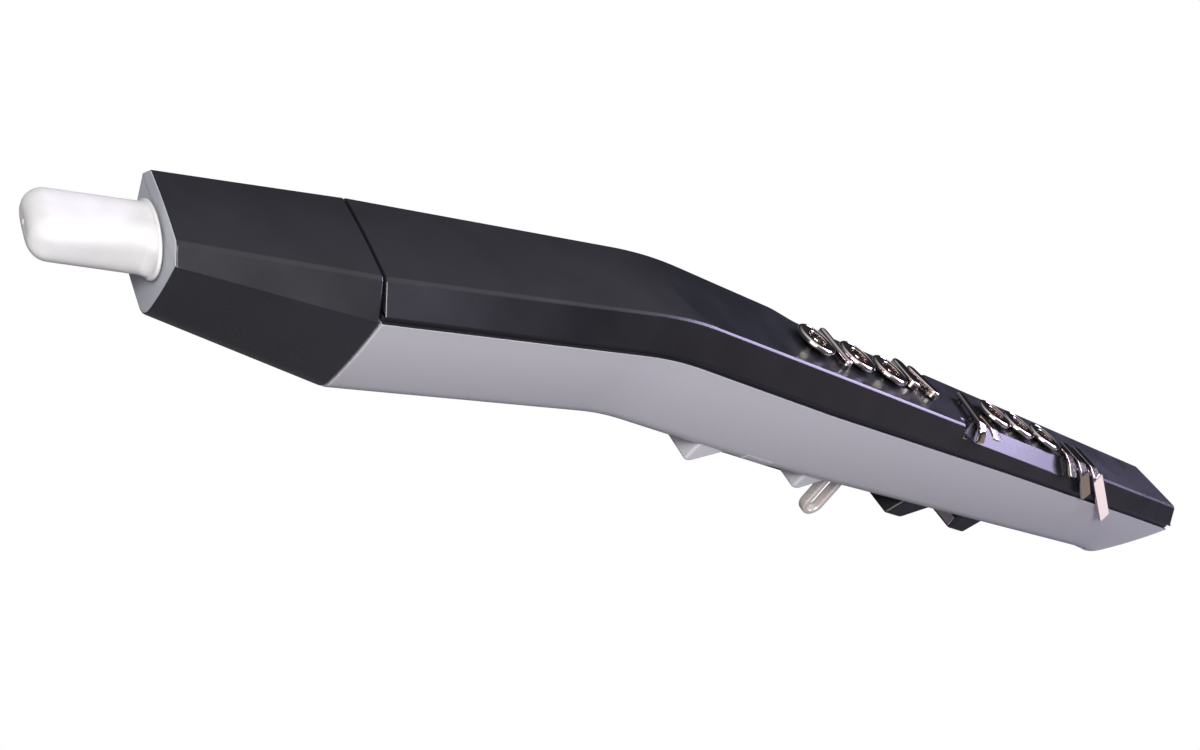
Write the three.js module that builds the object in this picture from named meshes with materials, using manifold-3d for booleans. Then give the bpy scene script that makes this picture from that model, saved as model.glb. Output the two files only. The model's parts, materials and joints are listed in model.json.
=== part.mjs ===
// Digital wind controller, in millimetres. Keys face up (+Z), the mouthpiece points along -Y,
// and +X is the side under the player's right hand.
import * as THREE from "three";
import { mergeVertices } from "three/addons/utils/BufferGeometryUtils.js";
import Module from "manifold-3d";

const wasm = await Module();
wasm.setup();

// Driving sizes of the body line: a straight key section, a knee, a tilted neck and a head.
const keyLength = 360.4;
const neckTilt = THREE.MathUtils.degToRad(11.5);
const kneeRadius = 150;
const neckLength = 116.7;
const headLength = 61.5;
const mouthpieceReach = 34.4;
const stemDrop = 12;
const wall = 2;
const fitGap = 0.3;
const seamGap = 0.6;
const overrun = 5;
const rodSides = 10;

const half = 0.5;
const kneeArc = kneeRadius * neckTilt;
const kneeTangent = kneeRadius * Math.tan(neckTilt * half);
const seamAlong = kneeTangent - kneeArc - neckLength;
const frontAlong = seamAlong - headLength;

// A place on the body line: along is measured from the knee, toward the far end, and height
// from the plane of the key face. The neck bends down toward the mouthpiece.
function bodyPoint(x, along, height) {
  if (along >= 0) return new THREE.Vector3(x, along, height);
  const turned = Math.min(-along / kneeRadius, neckTilt);
  const straight = Math.min(along + kneeArc, 0);
  const radius = kneeRadius + height;
  const y = straight * Math.cos(neckTilt) - radius * Math.sin(turned);
  const z = straight * Math.sin(neckTilt) + radius * Math.cos(turned) - kneeRadius;
  return new THREE.Vector3(x, y, z);
}

// Girths of the body at its control sections. topHalf is half the width of the top face,
// lipHalf half the width at the line between the cases, and baseHalf half the width of the back.
const frontGirth = { along: frontAlong, topHalf: 18.1, lipHalf: 23.6, lipDrop: 4.6, depth: 30.6, baseHalf: 13 };
const seamGirth = { along: seamAlong, topHalf: 22.2, lipHalf: 29.8, lipDrop: 10.9, depth: 50.7, baseHalf: 12.9 };
const kneeGirth = { along: -kneeArc, topHalf: 20, lipHalf: 23.8, lipDrop: 14.9, depth: 54.5, baseHalf: 8.6 };
const rollerGirth = { along: 76, topHalf: 18.4, lipHalf: 23, lipDrop: 15, depth: 54.4, baseHalf: 10.1 };
const thumbGirth = { along: 200, topHalf: 17.3, lipHalf: 22.4, lipDrop: 12.5, depth: 49, baseHalf: 11.4 };
const tailRun = 38.4;
const tailGirth = { along: keyLength - tailRun, topHalf: 16.2, lipHalf: 21.6, lipDrop: 11.2, depth: 44, baseHalf: 12 };
const endGirth = { along: keyLength, topHalf: 15.9, lipHalf: 21.3, lipDrop: 11.2, depth: 44.4, baseHalf: 13.1 };
const girths = [frontGirth, seamGirth, kneeGirth, rollerGirth, thumbGirth, tailGirth, endGirth];

function girthAt(along) {
  let next = girths.findIndex((girth) => girth.along >= along);
  if (next < 1) next = next === 0 ? 1 : girths.length - 1;
  const before = girths[next - 1];
  const after = girths[next];
  const share = THREE.MathUtils.clamp((along - before.along) / (after.along - before.along), 0, 1);
  const girth = { along };
  for (const key of ["topHalf", "lipHalf", "lipDrop", "depth", "baseHalf"]) {
    girth[key] = THREE.MathUtils.lerp(before[key], after[key], share);
  }
  return girth;
}

// Details of a body section.
const crownHeight = 0.5;
const innerCrownShare = 0.3;
const edgeRound = 1.2;
const recessHeight = 2.6;
const recessDepth = 1.4;
const tongueDepth = 2.4;
const rimClearance = 0.6;
const rimLean = 1;
const sideBulge = 1;
const backRound = 6;
const crownShares = [0.75, 0.4, 0, -0.4, -0.75];
const sideSteps = 5;
const backRoundSteps = 4;

function bandDropOf(girth, inset) {
  return Math.max(girth.lipDrop - recessHeight, inset + edgeRound * 2);
}

// The top of a section from its right band edge over to the left one.
function topArch(girth, inset, lipInset) {
  const bandDrop = bandDropOf(girth, inset);
  const top = girth.topHalf - inset;
  const lip = girth.lipHalf - lipInset;
  const shoulder = THREE.MathUtils.lerp(top, lip, edgeRound / bandDrop);
  const flat = top - edgeRound;
  const right = [[lip, -bandDrop], [shoulder, -inset - edgeRound], [flat, -inset]];
  const left = right.map(([x, height]) => [-x, height]).reverse();
  const rise = inset > 0 ? crownHeight * innerCrownShare : crownHeight;
  const crown = crownShares.map((share) => [flat * share, rise * (1 - share * share) - inset]);
  return [...right, ...crown, ...left];
}

// Half the width of the back at a drop: nearly flat sides that close in toward the base.
function sideHalf({ lipHalf, lipDrop, depth, baseHalf }, drop) {
  const share = (drop - lipDrop) / (depth - lipDrop);
  return THREE.MathUtils.lerp(lipHalf, baseHalf, share) + sideBulge * 4 * share * (1 - share);
}

// The back of a section from its left edge down and over to the right one.
function backArc(girth, inset, startDrop) {
  const bottom = girth.depth - inset;
  const roundDrop = bottom - backRound;
  const right = Array.from({ length: sideSteps + 1 }, (_, step) => {
    const drop = THREE.MathUtils.lerp(startDrop, roundDrop, step / sideSteps);
    return [sideHalf(girth, drop) - inset, -drop];
  });
  const [start] = right.slice(-1);
  const corner = girth.baseHalf - inset;
  for (let step = 1; step <= backRoundSteps; step += 1) {
    const share = step / backRoundSteps;
    const rest = 1 - share;
    const x = start[0] * rest * rest + corner * 2 * share * rest + (corner - backRound) * share * share;
    right.push([x, start[1] * rest * rest - bottom * (1 - rest * rest)]);
  }
  const left = right.map(([x, height]) => [-x, height]);
  return [...left, ...right.reverse()];
}

function fullOutline(girth, inset) {
  return [...topArch(girth, inset, inset), ...backArc(girth, inset, girth.lipDrop)];
}

function rimFootOf(girth) {
  return girth.lipDrop + tongueDepth + rimClearance;
}

// Half the width of the tongue at a drop: it leans in with the side of the lower case.
function tongueHalf(girth, drop) {
  const lean = (drop - bandDropOf(girth, 0)) / (recessHeight + tongueDepth);
  return girth.lipHalf - recessDepth - rimLean * lean;
}

function upperOutline(girth) {
  const tongue = girth.lipHalf - recessDepth;
  const foot = -girth.lipDrop - tongueDepth;
  const tip = tongueHalf(girth, -foot);
  const outer = topArch(girth, 0, 0);
  const inner = topArch(girth, wall, recessDepth + wall).reverse();
  const leftFoot = [[-tongue, -bandDropOf(girth, 0)], [-tip, foot], [wall - tip, foot]];
  const rightFoot = leftFoot.map(([x, height]) => [-x, height]).reverse();
  return [...outer, ...leftFoot, ...inner, ...rightFoot];
}

function bandPlug(girth) {
  return topArch(girth, 0, 0);
}

function tonguePlug(girth) {
  const reach = tongueHalf(girth, girth.lipDrop + tongueDepth) - wall * half;
  const foot = -girth.lipDrop - tongueDepth;
  const top = wall * half - bandDropOf(girth, 0);
  return [[-reach, foot], [reach, foot], [reach, top], [-reach, top]];
}

function lowerOutline(girth) {
  const rim = tongueHalf(girth, girth.lipDrop) + fitGap;
  const rimFoot = tongueHalf(girth, rimFootOf(girth)) + fitGap;
  const foot = -rimFootOf(girth);
  const inner = backArc(girth, wall, rimFootOf(girth)).reverse();
  const rightRim = [[rim, -girth.lipDrop], [rimFoot, foot]];
  const leftRim = [[-rimFoot, foot], [-rim, -girth.lipDrop]];
  return [...backArc(girth, 0, girth.lipDrop), ...rightRim, ...inner, ...leftRim];
}

function rimPlug(girth) {
  return backArc(girth, 0, girth.lipDrop);
}

function lowerPlug(girth) {
  return backArc(girth, wall * half, rimFootOf(girth));
}

// The end face of the lower case leans back below its rim.
const endRakeShare = 0.89;

function lowerPoint(x, along, height) {
  const girth = girthAt(along);
  const lean = THREE.MathUtils.clamp((along - keyLength + tailRun) / tailRun, 0, 1) * endRakeShare;
  return bodyPoint(x, along + Math.min(height + girth.lipDrop, 0) * lean, height);
}

// Joins outlines of one point count, each [x, height] and counter-clockwise seen from -Y.
function loft(rows, place) {
  const positions = [];
  const faces = [];
  const count = rows[0].outline.length;
  for (const { along, outline } of rows) {
    for (const [x, height] of outline) positions.push(...place(x, along, height).toArray());
  }
  for (let row = 0; row + 1 < rows.length; row += 1) {
    for (let point = 0; point < count; point += 1) {
      const next = (point + 1) % count;
      const a = row * count + point;
      const b = row * count + next;
      faces.push(a, a + count, b + count, a, b + count, b);
    }
  }
  const cap = ({ outline }) => {
    const contour = outline.map(([x, height]) => new THREE.Vector2(x, height));
    return THREE.ShapeUtils.triangulateShape(contour, []);
  };
  const last = (rows.length - 1) * count;
  for (const [a, b, c] of cap(rows[0])) faces.push(a, b, c);
  for (const [a, b, c] of cap(rows[rows.length - 1])) faces.push(last + a, last + c, last + b);
  const geometry = new THREE.BufferGeometry();
  geometry.setAttribute("position", new THREE.Float32BufferAttribute(positions, 3));
  geometry.setIndex(faces);
  return solid(geometry);
}

function loftBody(alongs, outlineOf, place = bodyPoint) {
  return loft(alongs.map((along) => ({ along, outline: outlineOf(girthAt(along)) })), place);
}

// Boolean work on closed meshes.
function solid(geometry) {
  const bare = geometry.clone();
  bare.deleteAttribute("normal");
  bare.deleteAttribute("uv");
  const merged = mergeVertices(bare);
  const vertProperties = new Float32Array(merged.attributes.position.array);
  const triVerts = new Uint32Array(merged.index.array);
  return new wasm.Manifold(new wasm.Mesh({ numProp: 3, vertProperties, triVerts }));
}

function geometryOf(body) {
  const mesh = body.getMesh();
  const geometry = new THREE.BufferGeometry();
  geometry.setAttribute("position", new THREE.Float32BufferAttribute(mesh.vertProperties, 3));
  geometry.setIndex([...mesh.triVerts]);
  geometry.computeVertexNormals();
  return geometry;
}

function joined(bodies) {
  return bodies.reduce((whole, body) => whole.add(body));
}

function cut(body, tools) {
  return tools.reduce((rest, tool) => rest.subtract(tool), body);
}

// Simple shapes: a block between two corners, a rod along one axis and a piece turned on Z.
function block(low, high) {
  const size = high.map((value, axis) => value - low[axis]);
  const geometry = new THREE.BoxGeometry(...size);
  geometry.translate(...low.map((value, axis) => value + size[axis] * half));
  return solid(geometry);
}

function rod(radius, start, length, axis, sides = rodSides) {
  const geometry = new THREE.CylinderGeometry(radius, radius, length, sides);
  if (axis === "x") geometry.rotateZ(-Math.PI / 2);
  if (axis === "z") geometry.rotateX(Math.PI / 2);
  const middle = [...start];
  middle["xyz".indexOf(axis)] += length * half;
  geometry.translate(...middle);
  return solid(geometry);
}

function turned(profile, sides) {
  const geometry = new THREE.LatheGeometry(profile.map(([r, z]) => new THREE.Vector2(r, z)), sides);
  geometry.rotateX(Math.PI / 2);
  return solid(geometry);
}

// Sets a piece made about the origin onto the body line, square to it.
function onBody(body, x, along) {
  const tilt = along < -kneeArc ? THREE.MathUtils.radToDeg(neckTilt) : 0;
  return body.rotate([tilt, 0, 0]).translate(bodyPoint(x, along, 0).toArray());
}

// Finishes.
const finish = (color, roughness, metalness) => new THREE.MeshStandardMaterial({ color, roughness, metalness });
const blackCase = finish(0x2b2b2e, 0.42, 0);
const greyCase = finish(0xa6a5a8, 0.4, 0.25);
const silicone = finish(0xf1efec, 0.55, 0);
const chrome = finish(0xd8d6d4, 0.12, 1);
const steel = finish(0xa9a9ab, 0.35, 1);
const boardGreen = finish(0x1e5a3a, 0.6, 0);
const blackPlastic = finish(0x1b1b1d, 0.5, 0);
const clearTube = finish(0xd9d6c8, 0.4, 0);

const instrument = new THREE.Group();

function addPiece(name, body, material) {
  const mesh = new THREE.Mesh(geometryOf(body), material);
  mesh.name = name;
  instrument.add(mesh);
}

// Keys stand on stubs that pass through the key face and end just above the key board.
const keyBoardTop = -5.8;
const keyStubFoot = keyBoardTop + fitGap;
const stubRadius = 3.4;
const postRadius = 1.4;
const postSides = 10;
const faceLift = 1.7;
const ringRadius = 8.9;
const ringThickness = 2.3;
const ringRim = 1.1;
const ringHole = 4.5;
const ringFloor = 1.1;
const ringDish = 0.35;
const ringSides = 24;
const holeSides = 16;
const ringTop = faceLift + ringThickness;
const ringPlaces = [
  { name: "lh_ring_key_1", x: 1.2, along: 65.6 },
  { name: "lh_ring_key_2", x: 0.9, along: 92.4 },
  { name: "lh_ring_key_3", x: 1.1, along: 114.6 },
  { name: "rh_ring_key_1", x: 0.9, along: 195.8 },
  { name: "rh_ring_key_2", x: 1.8, along: 215.4 },
  { name: "rh_ring_key_3", x: 3.4, along: 236.4 },
];

function ringKey() {
  const quarter = ringRim * half * half;
  return turned([
    [0, keyStubFoot],
    [stubRadius, keyStubFoot],
    [stubRadius, faceLift],
    [ringRadius - ringRim, faceLift],
    [ringRadius - quarter, faceLift + quarter],
    [ringRadius, faceLift + ringThickness * half],
    [ringRadius - quarter, ringTop - quarter],
    [ringRadius - ringRim, ringTop],
    [ringRadius - ringRim * 2, ringTop - ringDish],
    [ringHole + quarter, ringTop - ringDish],
    [ringHole, ringTop - ringDish - quarter],
    [ringHole, ringFloor],
    [0, ringFloor],
  ], ringSides);
}

// Bar keys: a flat plate with round ends and bevelled edges, on two posts.
const barLift = 1.9;
const barThickness = 1.9;
const barBevel = 0.45;
const barCurveSteps = 6;
const barPostShare = 0.3;
const barKeys = [
  { name: "lh_bis_key", x: 0, along: 78.9, length: 23, width: 4.6, turn: 0 },
  { name: "lh_little_key_1", x: -3, along: 130.2, length: 18, width: 7.6, turn: 0 },
  { name: "lh_little_key_2", x: -1.6, along: 141.2, length: 18.6, width: 5.6, turn: 20 },
];

function stadium(length, width) {
  const radius = width * half;
  const straight = length * half - radius;
  const shape = new THREE.Shape();
  shape.absarc(straight, 0, radius, -Math.PI / 2, Math.PI / 2, false);
  shape.absarc(-straight, 0, radius, Math.PI / 2, Math.PI * 1.5, false);
  return shape;
}

function barKey({ x, along, length, width, turn }) {
  const bevels = barBevel * 2;
  const plate = new THREE.ExtrudeGeometry(stadium(length - bevels, width - bevels), {
    depth: barThickness - bevels,
    bevelThickness: barBevel,
    bevelSize: barBevel,
    bevelSegments: 1,
    curveSegments: barCurveSteps,
  });
  plate.translate(0, 0, barLift + barBevel);
  const reach = length * barPostShare;
  const postLength = barLift + barBevel - keyStubFoot;
  const posts = [-reach, reach].map((step) => {
    return rod(postRadius, [step, 0, keyStubFoot], postLength, "z", postSides);
  });
  return onBody(joined([solid(plate), ...posts]).rotate([0, 0, turn]), x, along);
}

// Strap keys: a flat strip that runs out over the key face and bends down the side.
const strapThickness = 1.3;
const strapLift = 3.6;
const strapKeys = [
  {
    name: "rh_side_key_1",
    width: 3.4,
    path: [[-5, 174], [17.4, 167.6], [20.6, 167.6, 1.6], [23, 168.6, -3.2]],
    posts: [[-2, 173.2], [10, 169.7]],
  },
  {
    name: "rh_side_key_2",
    width: 5.6,
    path: [[9.5, 176], [18, 175.8], [23.4, 176.2, 1.7]],
    posts: [[12, 176]],
  },
  {
    name: "rh_little_key_1",
    width: 6,
    path: [[9.6, 247.4], [13.2, 247.2], [17.8, 247, 2], [22.8, 247.6, -2]],
    posts: [[12, 247.2]],
  },
  {
    name: "rh_little_key_2",
    width: 6.6,
    path: [[1.8, 256.8], [16.2, 255.4], [20.2, 256.6, 1.2], [25, 264.6, -7.6]],
    posts: [[4, 256.6], [12, 255.8]],
  },
  {
    name: "rh_little_key_3",
    width: 6.6,
    path: [[1.6, 268.4], [16, 267.4], [20.2, 269.4, 1.2], [25.4, 291, -14.4]],
    posts: [[4, 268.2], [12, 267.7]],
  },
];

function strapKey({ width, path, posts }) {
  const places = path.map(([x, along, height = strapLift]) => bodyPoint(x, along, height));
  const rows = places.map((place, index) => {
    const before = places[Math.max(index - 1, 0)];
    const after = places[Math.min(index + 1, places.length - 1)];
    const run = after.clone().sub(before).normalize();
    const up = new THREE.Vector3(-run.z, 0, run.x).normalize();
    return { place, up, across: up.clone().cross(run) };
  });
  const reach = width * half;
  const outline = [[-reach, -strapThickness], [reach, -strapThickness], [reach, 0], [-reach, 0]];
  const put = (side, index, depth) => {
    const { place, up, across } = rows[index];
    return place.clone().addScaledVector(up, depth).addScaledVector(across, -side);
  };
  const strip = loft(rows.map((row, along) => ({ along, outline })), put);
  const postLength = strapLift - strapThickness * half - keyStubFoot;
  const feet = posts.map(([x, along]) => rod(postRadius, [x, along, keyStubFoot], postLength, "z", postSides));
  return joined([strip, ...feet]);
}

function keyHole(x, along, radius) {
  return rod(radius + fitGap, [x, along, -overrun * 2], overrun * 3, "z", holeSides);
}

function keyHoles() {
  const ringHoles = ringPlaces.map(({ x, along }) => keyHole(x, along, stubRadius));
  const barHoles = barKeys.flatMap(({ x, along, length, turn }) => {
    const angle = THREE.MathUtils.degToRad(turn);
    const reach = length * barPostShare;
    return [-reach, reach].map((step) => {
      return keyHole(x + step * Math.cos(angle), along + step * Math.sin(angle), postRadius);
    });
  });
  const strapHoles = strapKeys.flatMap(({ posts }) => posts.map(([x, along]) => keyHole(x, along, postRadius)));
  return [...ringHoles, ...barHoles, ...strapHoles];
}

// Side facets: planes cut from the key face down to the side, right and left.
const rightFacet = { side: 1, start: 160, end: 244, inner: 12.1, outer: 19.2, drop: 5.1 };
const leftFacet = { side: -1, start: 56, end: 158, inner: 14, outer: 19.6, drop: 4.6 };
const facetExtend = 0.35;
const facetBack = 2.6;

// The prism over a facet that is cut away, or the one under it that backs the thinned wall.
function facetPrism({ side, start, end, inner, outer, drop }, cuts) {
  const slope = new THREE.Vector2(outer - inner, -drop);
  const stretch = cuts ? facetExtend : 0;
  const low = new THREE.Vector2(outer, -drop).addScaledVector(slope, stretch);
  const high = new THREE.Vector2(inner, 0).addScaledVector(slope, -stretch);
  const out = new THREE.Vector2(-slope.y, slope.x).normalize().multiplyScalar(cuts ? overrun * 2 : -facetBack);
  const corners = [low, high, high.clone().add(out), low.clone().add(out)];
  const shape = new THREE.Shape(corners.map(({ x, y }) => new THREE.Vector2(x * side, y)));
  const reach = cuts ? 0 : wall;
  const geometry = new THREE.ExtrudeGeometry(shape, { depth: end - start + reach * 2, bevelEnabled: false });
  geometry.rotateX(Math.PI / 2);
  geometry.translate(0, end + reach, 0);
  return solid(geometry);
}

// Screws, all with a flat round head.
const screwRadius = 1;
const screwHeadRadius = 1.65;
const screwHeadHeight = 1.4;
const screwGap = 0.22;
const screwSides = 10;
const bossRadius = 3.4;

// A screw that points up, with its head from z = 0 down.
function screw(length) {
  return turned([
    [0, -screwHeadHeight],
    [screwHeadRadius, -screwHeadHeight],
    [screwHeadRadius, 0],
    [screwRadius, 0],
    [screwRadius, length],
    [0, length],
  ], screwSides);
}

// Case screws run up from the back through the lower bosses into the upper ones.
const bossMeet = -24;
const caseScrewGrip = 8;
const caseScrewSink = 7;
const rearScrewSetback = 34.4;
const caseScrews = [
  { x: 8.4, along: -105 },
  { x: -8.4, along: -105 },
  { x: 6, along: 4 },
  { x: -6, along: 4 },
  { x: 11.5, along: keyLength - rearScrewSetback },
  { x: -11.5, along: keyLength - rearScrewSetback },
];

// Height of the back's surface at a place, read off the outline of the section.
function backHeight({ x, along }) {
  const girth = girthAt(along);
  const outline = backArc(girth, 0, girth.lipDrop);
  const right = outline.slice(outline.length * half).reverse();
  const next = right.findIndex(([edge]) => edge <= Math.abs(x));
  if (next < 0) return -girth.depth;
  const [highX, high] = right[next - 1];
  const [lowX, low] = right[next];
  return THREE.MathUtils.mapLinear(Math.abs(x), highX, lowX, high, low);
}

function screwSeat(place) {
  return backHeight(place) + caseScrewSink;
}

function caseScrew(place) {
  const seat = screwSeat(place);
  return onBody(screw(bossMeet + caseScrewGrip - seat).translate([0, 0, seat]), place.x, place.along);
}

function upperBosses() {
  return caseScrews.map(({ x, along }) => {
    const foot = bossMeet + fitGap * half;
    return onBody(rod(bossRadius, [0, 0, foot], -foot - wall * half, "z"), x, along);
  });
}

function upperBossHoles() {
  return caseScrews.map(({ x, along }) => {
    const length = caseScrewGrip + overrun * 2;
    return onBody(rod(screwRadius + screwGap, [0, 0, bossMeet - overrun], length, "z", screwSides), x, along);
  });
}

function lowerBosses() {
  return caseScrews.map((place) => {
    const foot = backHeight(place) + wall * half;
    const post = rod(bossRadius, [0, 0, foot], bossMeet - fitGap * half - foot, "z");
    return onBody(post, place.x, place.along);
  });
}

function lowerBossHoles() {
  return caseScrews.flatMap((place) => {
    const seat = screwSeat(place) - fitGap;
    const reach = bossMeet - seat + overrun * 2;
    const shank = rod(screwRadius + screwGap, [0, 0, seat - overrun], reach, "z", screwSides);
    const depth = caseScrewSink * 2;
    const well = rod(screwHeadRadius + screwGap, [0, 0, seat + fitGap * 2 - depth], depth, "z", screwSides);
    return [shank, well].map((tool) => onBody(tool, place.x, place.along));
  });
}

// Boards with their standoffs. A hung board is screwed from below, a standing one from above.
const boardThickness = 1.6;
const standoffRadius = 2.6;
const standoffGrip = 3.2;
const keyBoard = {
  top: keyBoardTop, half: 12.6, start: 48, end: 281, hung: true,
  screws: [{ x: 0, along: 53 }, { x: -3, along: 277 }],
};
const sensorBoard = {
  top: -16.2, half: 11, start: -100, end: -56, hung: true,
  screws: [{ x: 7, along: -61 }, { x: -7, along: -95 }],
};
const mainBoardLength = 90;
const mainBoardSetback = 18.4;
const mainBoardInset = 5;
const mainBoardEnd = keyLength - mainBoardSetback;
const mainBoardStart = mainBoardEnd - mainBoardLength;
const mainBoardMiddle = mainBoardEnd - mainBoardSetback;
const mainBoard = {
  top: -25.4, half: 7, start: mainBoardStart, end: mainBoardEnd, hung: false,
  screws: [{ x: 0, along: mainBoardStart + mainBoardInset }, { x: 0, along: mainBoardMiddle }],
};

function boardBody(board) {
  const bottom = board.top - boardThickness;
  const middle = (board.start + board.end) * half;
  const run = board.end - middle;
  const plate = block([-board.half, -run, bottom], [board.half, run, board.top]);
  const holes = board.screws.map(({ x, along }) => {
    const start = [x, along - middle, bottom - overrun];
    return rod(screwRadius + screwGap, start, boardThickness + overrun * 2, "z", screwSides);
  });
  return onBody(cut(plate, holes), 0, middle);
}

function boardScrew(board, { x, along }) {
  const length = boardThickness + standoffGrip - fitGap;
  if (board.hung) {
    const seat = board.top - boardThickness - fitGap;
    return onBody(screw(length).translate([0, 0, seat]), x, along);
  }
  const seat = board.top + fitGap;
  return onBody(screw(length).rotate([180, 0, 0]).translate([0, 0, seat]), x, along);
}

function standoffs(board) {
  return board.screws.map(({ x, along }) => {
    const bottom = board.top - boardThickness - fitGap;
    const low = board.hung ? board.top + fitGap : backHeight({ x, along }) + wall * half;
    const high = board.hung ? -wall * half : bottom;
    return onBody(rod(standoffRadius, [0, 0, low], high - low, "z"), x, along);
  });
}

function standoffHoles(board) {
  return board.screws.map(({ x, along }) => {
    const bottom = board.top - boardThickness;
    const low = board.hung ? board.top - overrun : bottom - standoffGrip;
    const high = board.hung ? board.top + standoffGrip : bottom + overrun;
    return onBody(rod(screwRadius + screwGap, [0, 0, low], high - low, "z", screwSides), x, along);
  });
}

// Upper case.
const kneeStations = [0.75, 0.5, 0.25].map((share) => -kneeArc * share);
const bodyStations = [seamAlong, -kneeArc, ...kneeStations, 0, rollerGirth.along, thumbGirth.along, tailGirth.along];
const wide = 60;

function upperCase() {
  const shell = loftBody([...bodyStations, keyLength], upperOutline);
  const band = loftBody([keyLength - wall, keyLength], bandPlug);
  const tongueEnd = keyLength - recessDepth - tongueDepth * endRakeShare;
  const tongue = loftBody([tongueEnd - wall, tongueEnd], tonguePlug);
  const backing = [rightFacet, leftFacet].map((facet) => facetPrism(facet, false));
  const hung = [keyBoard, sensorBoard];
  const whole = joined([shell, band, tongue, ...backing, ...upperBosses(), ...hung.flatMap(standoffs)]);
  const trimTop = block([-wide, -wide, 0], [wide, keyLength + wide, wide]);
  const trimTongue = block([-wide, tongueEnd, -wide], [wide, keyLength + wide, -bandDropOf(endGirth, 0)]);
  const facets = [rightFacet, leftFacet].map((facet) => facetPrism(facet, true));
  const holes = [...keyHoles(), ...upperBossHoles(), ...hung.flatMap(standoffHoles)];
  return cut(whole, [trimTop, trimTongue, ...facets, ...holes]);
}

// Humps and thumb blocks on the back, each with a steep front and a sloping rear. start, end and
// reach belong to a plane inside the body, the other sizes to the crest.
const humpTop = -44;
const guardFront = { start: 41, end: 68.8, reach: 11, crestStart: 41.3, crestEnd: 43.9, crestReach: 9, crest: -61.5 };
const guardRear = { start: 106.4, end: 128.2, reach: 10.6, crestStart: 107, crestEnd: 110, crestReach: 8.6, crest: -59.7 };
const thumbFront = { start: 178.4, end: 200, reach: 10.6, crestStart: 172, crestEnd: 183.5, crestReach: 8.8, crest: -58.3 };
const thumbRear = { start: 220.8, end: 238.8, reach: 10.2, crestStart: 221.4, crestEnd: 233.7, crestReach: 8.6, crest: -56.3 };

function hump({ start, end, reach, crestStart, crestEnd, crestReach, crest }) {
  const outline = (side, from, to) => [[-side, -to], [side, -to], [side, -from], [-side, -from]];
  const rows = [
    { along: crest, outline: outline(crestReach, crestStart, crestEnd) },
    { along: humpTop, outline: outline(reach, start, end) },
  ];
  return loft(rows, (x, z, depth) => new THREE.Vector3(x, -depth, z));
}

function bodyCore(outset, { crestStart, end }) {
  return loftBody([crestStart - overrun, end + overrun], (girth) => fullOutline(girth, -outset));
}

function thumbBlock(shape) {
  return hump(shape).subtract(bodyCore(fitGap, shape));
}

function guardHump(shape) {
  return hump(shape).subtract(bodyCore(-wall * half, shape));
}

// Octave rollers in their cradle, between the two guard humps.
const rollerCount = 5;
const rollerRadius = 3;
const rollerLength = 12;
const rollerPitch = 6.4;
const rollerAlong = 74.3;
const rollerHeight = -52;
const rollerEdge = 0.5;
const rollerSides = 20;
const axleRadius = 1;
const axleBore = 1.35;
const cradleWall = 2.1;
const cradleGap = 0.4;
const cradleRoof = 1.6;
const cradleLip = 0.7;
const cradleReach = rollerLength * half + cradleGap + cradleWall;
const cradleWell = rollerPitch * (rollerCount - 1) * half + rollerRadius + cradleGap;
const cradleRun = cradleWell + cradleWall;
const cradleTop = rollerHeight + rollerRadius + cradleGap;
const rollerPlaces = Array.from({ length: rollerCount }, (_, index) => {
  return rollerAlong + (index - (rollerCount - 1) * half) * rollerPitch;
});

function roller(along) {
  const reach = rollerLength * half;
  const body = turned([
    [axleBore, -reach],
    [rollerRadius - rollerEdge, -reach],
    [rollerRadius, rollerEdge - reach],
    [rollerRadius, reach - rollerEdge],
    [rollerRadius - rollerEdge, reach],
    [axleBore, reach],
    [axleBore, -reach],
  ], rollerSides);
  return body.rotate([0, 90, 0]).translate([0, along, rollerHeight]);
}

function rollerAxle(along) {
  return rod(axleRadius, [-cradleReach, along, rollerHeight], cradleReach * 2, "x");
}

function cradle() {
  const bottom = rollerHeight - axleBore - cradleRoof * half;
  const box = block([-cradleReach, rollerAlong - cradleRun, bottom], [cradleReach, rollerAlong + cradleRun, cradleTop]);
  const roofReach = cradleReach + cradleLip;
  const roofRun = cradleRun + cradleLip;
  const roofLow = [-roofReach, rollerAlong - roofRun, cradleTop];
  const roof = block(roofLow, [roofReach, rollerAlong + roofRun, cradleTop + cradleRoof]);
  const reach = cradleReach - cradleWall;
  const well = block([-reach, rollerAlong - cradleWell, -wide * 2], [reach, rollerAlong + cradleWell, cradleTop]);
  const holes = rollerPlaces.map((along) => {
    return rod(axleRadius + screwGap, [-wide, along, rollerHeight], wide * 2, "x");
  });
  return cut(joined([box, roof]), [well, ...holes]);
}

function rollerWindow() {
  const reach = cradleReach + fitGap;
  const run = cradleRun + fitGap;
  return block([-reach, rollerAlong - run, -wide * 2], [reach, rollerAlong + run, cradleTop - fitGap]);
}

// Thin touch plates that follow the back beside the rollers.
const plateThickness = 0.8;
const plateLift = 0.7;
const plateSteps = 3;
const plateStart = 66;
const plateEnd = 81;
const plateInner = 10;
const plateOuter = 12.4;

function touchPlate(side) {
  const row = (girth, outset) => Array.from({ length: plateSteps + 1 }, (_, step) => {
    const x = THREE.MathUtils.lerp(plateOuter, plateInner, step / plateSteps);
    return [x * side, backHeight({ x, along: girth.along }) - outset];
  });
  const outline = (girth) => {
    const points = [...row(girth, plateLift), ...row(girth, plateLift + plateThickness).reverse()];
    return side > 0 ? points : points.reverse();
  };
  return loftBody([plateStart, plateEnd], outline);
}

// Pitch bend plates lie on the two slopes of the thumb blocks that face each other.
const bendReach = 8;
const bendLowShare = 0.48;
const bendHighShare = 0.88;
const bendThickness = 0.8;

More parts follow.
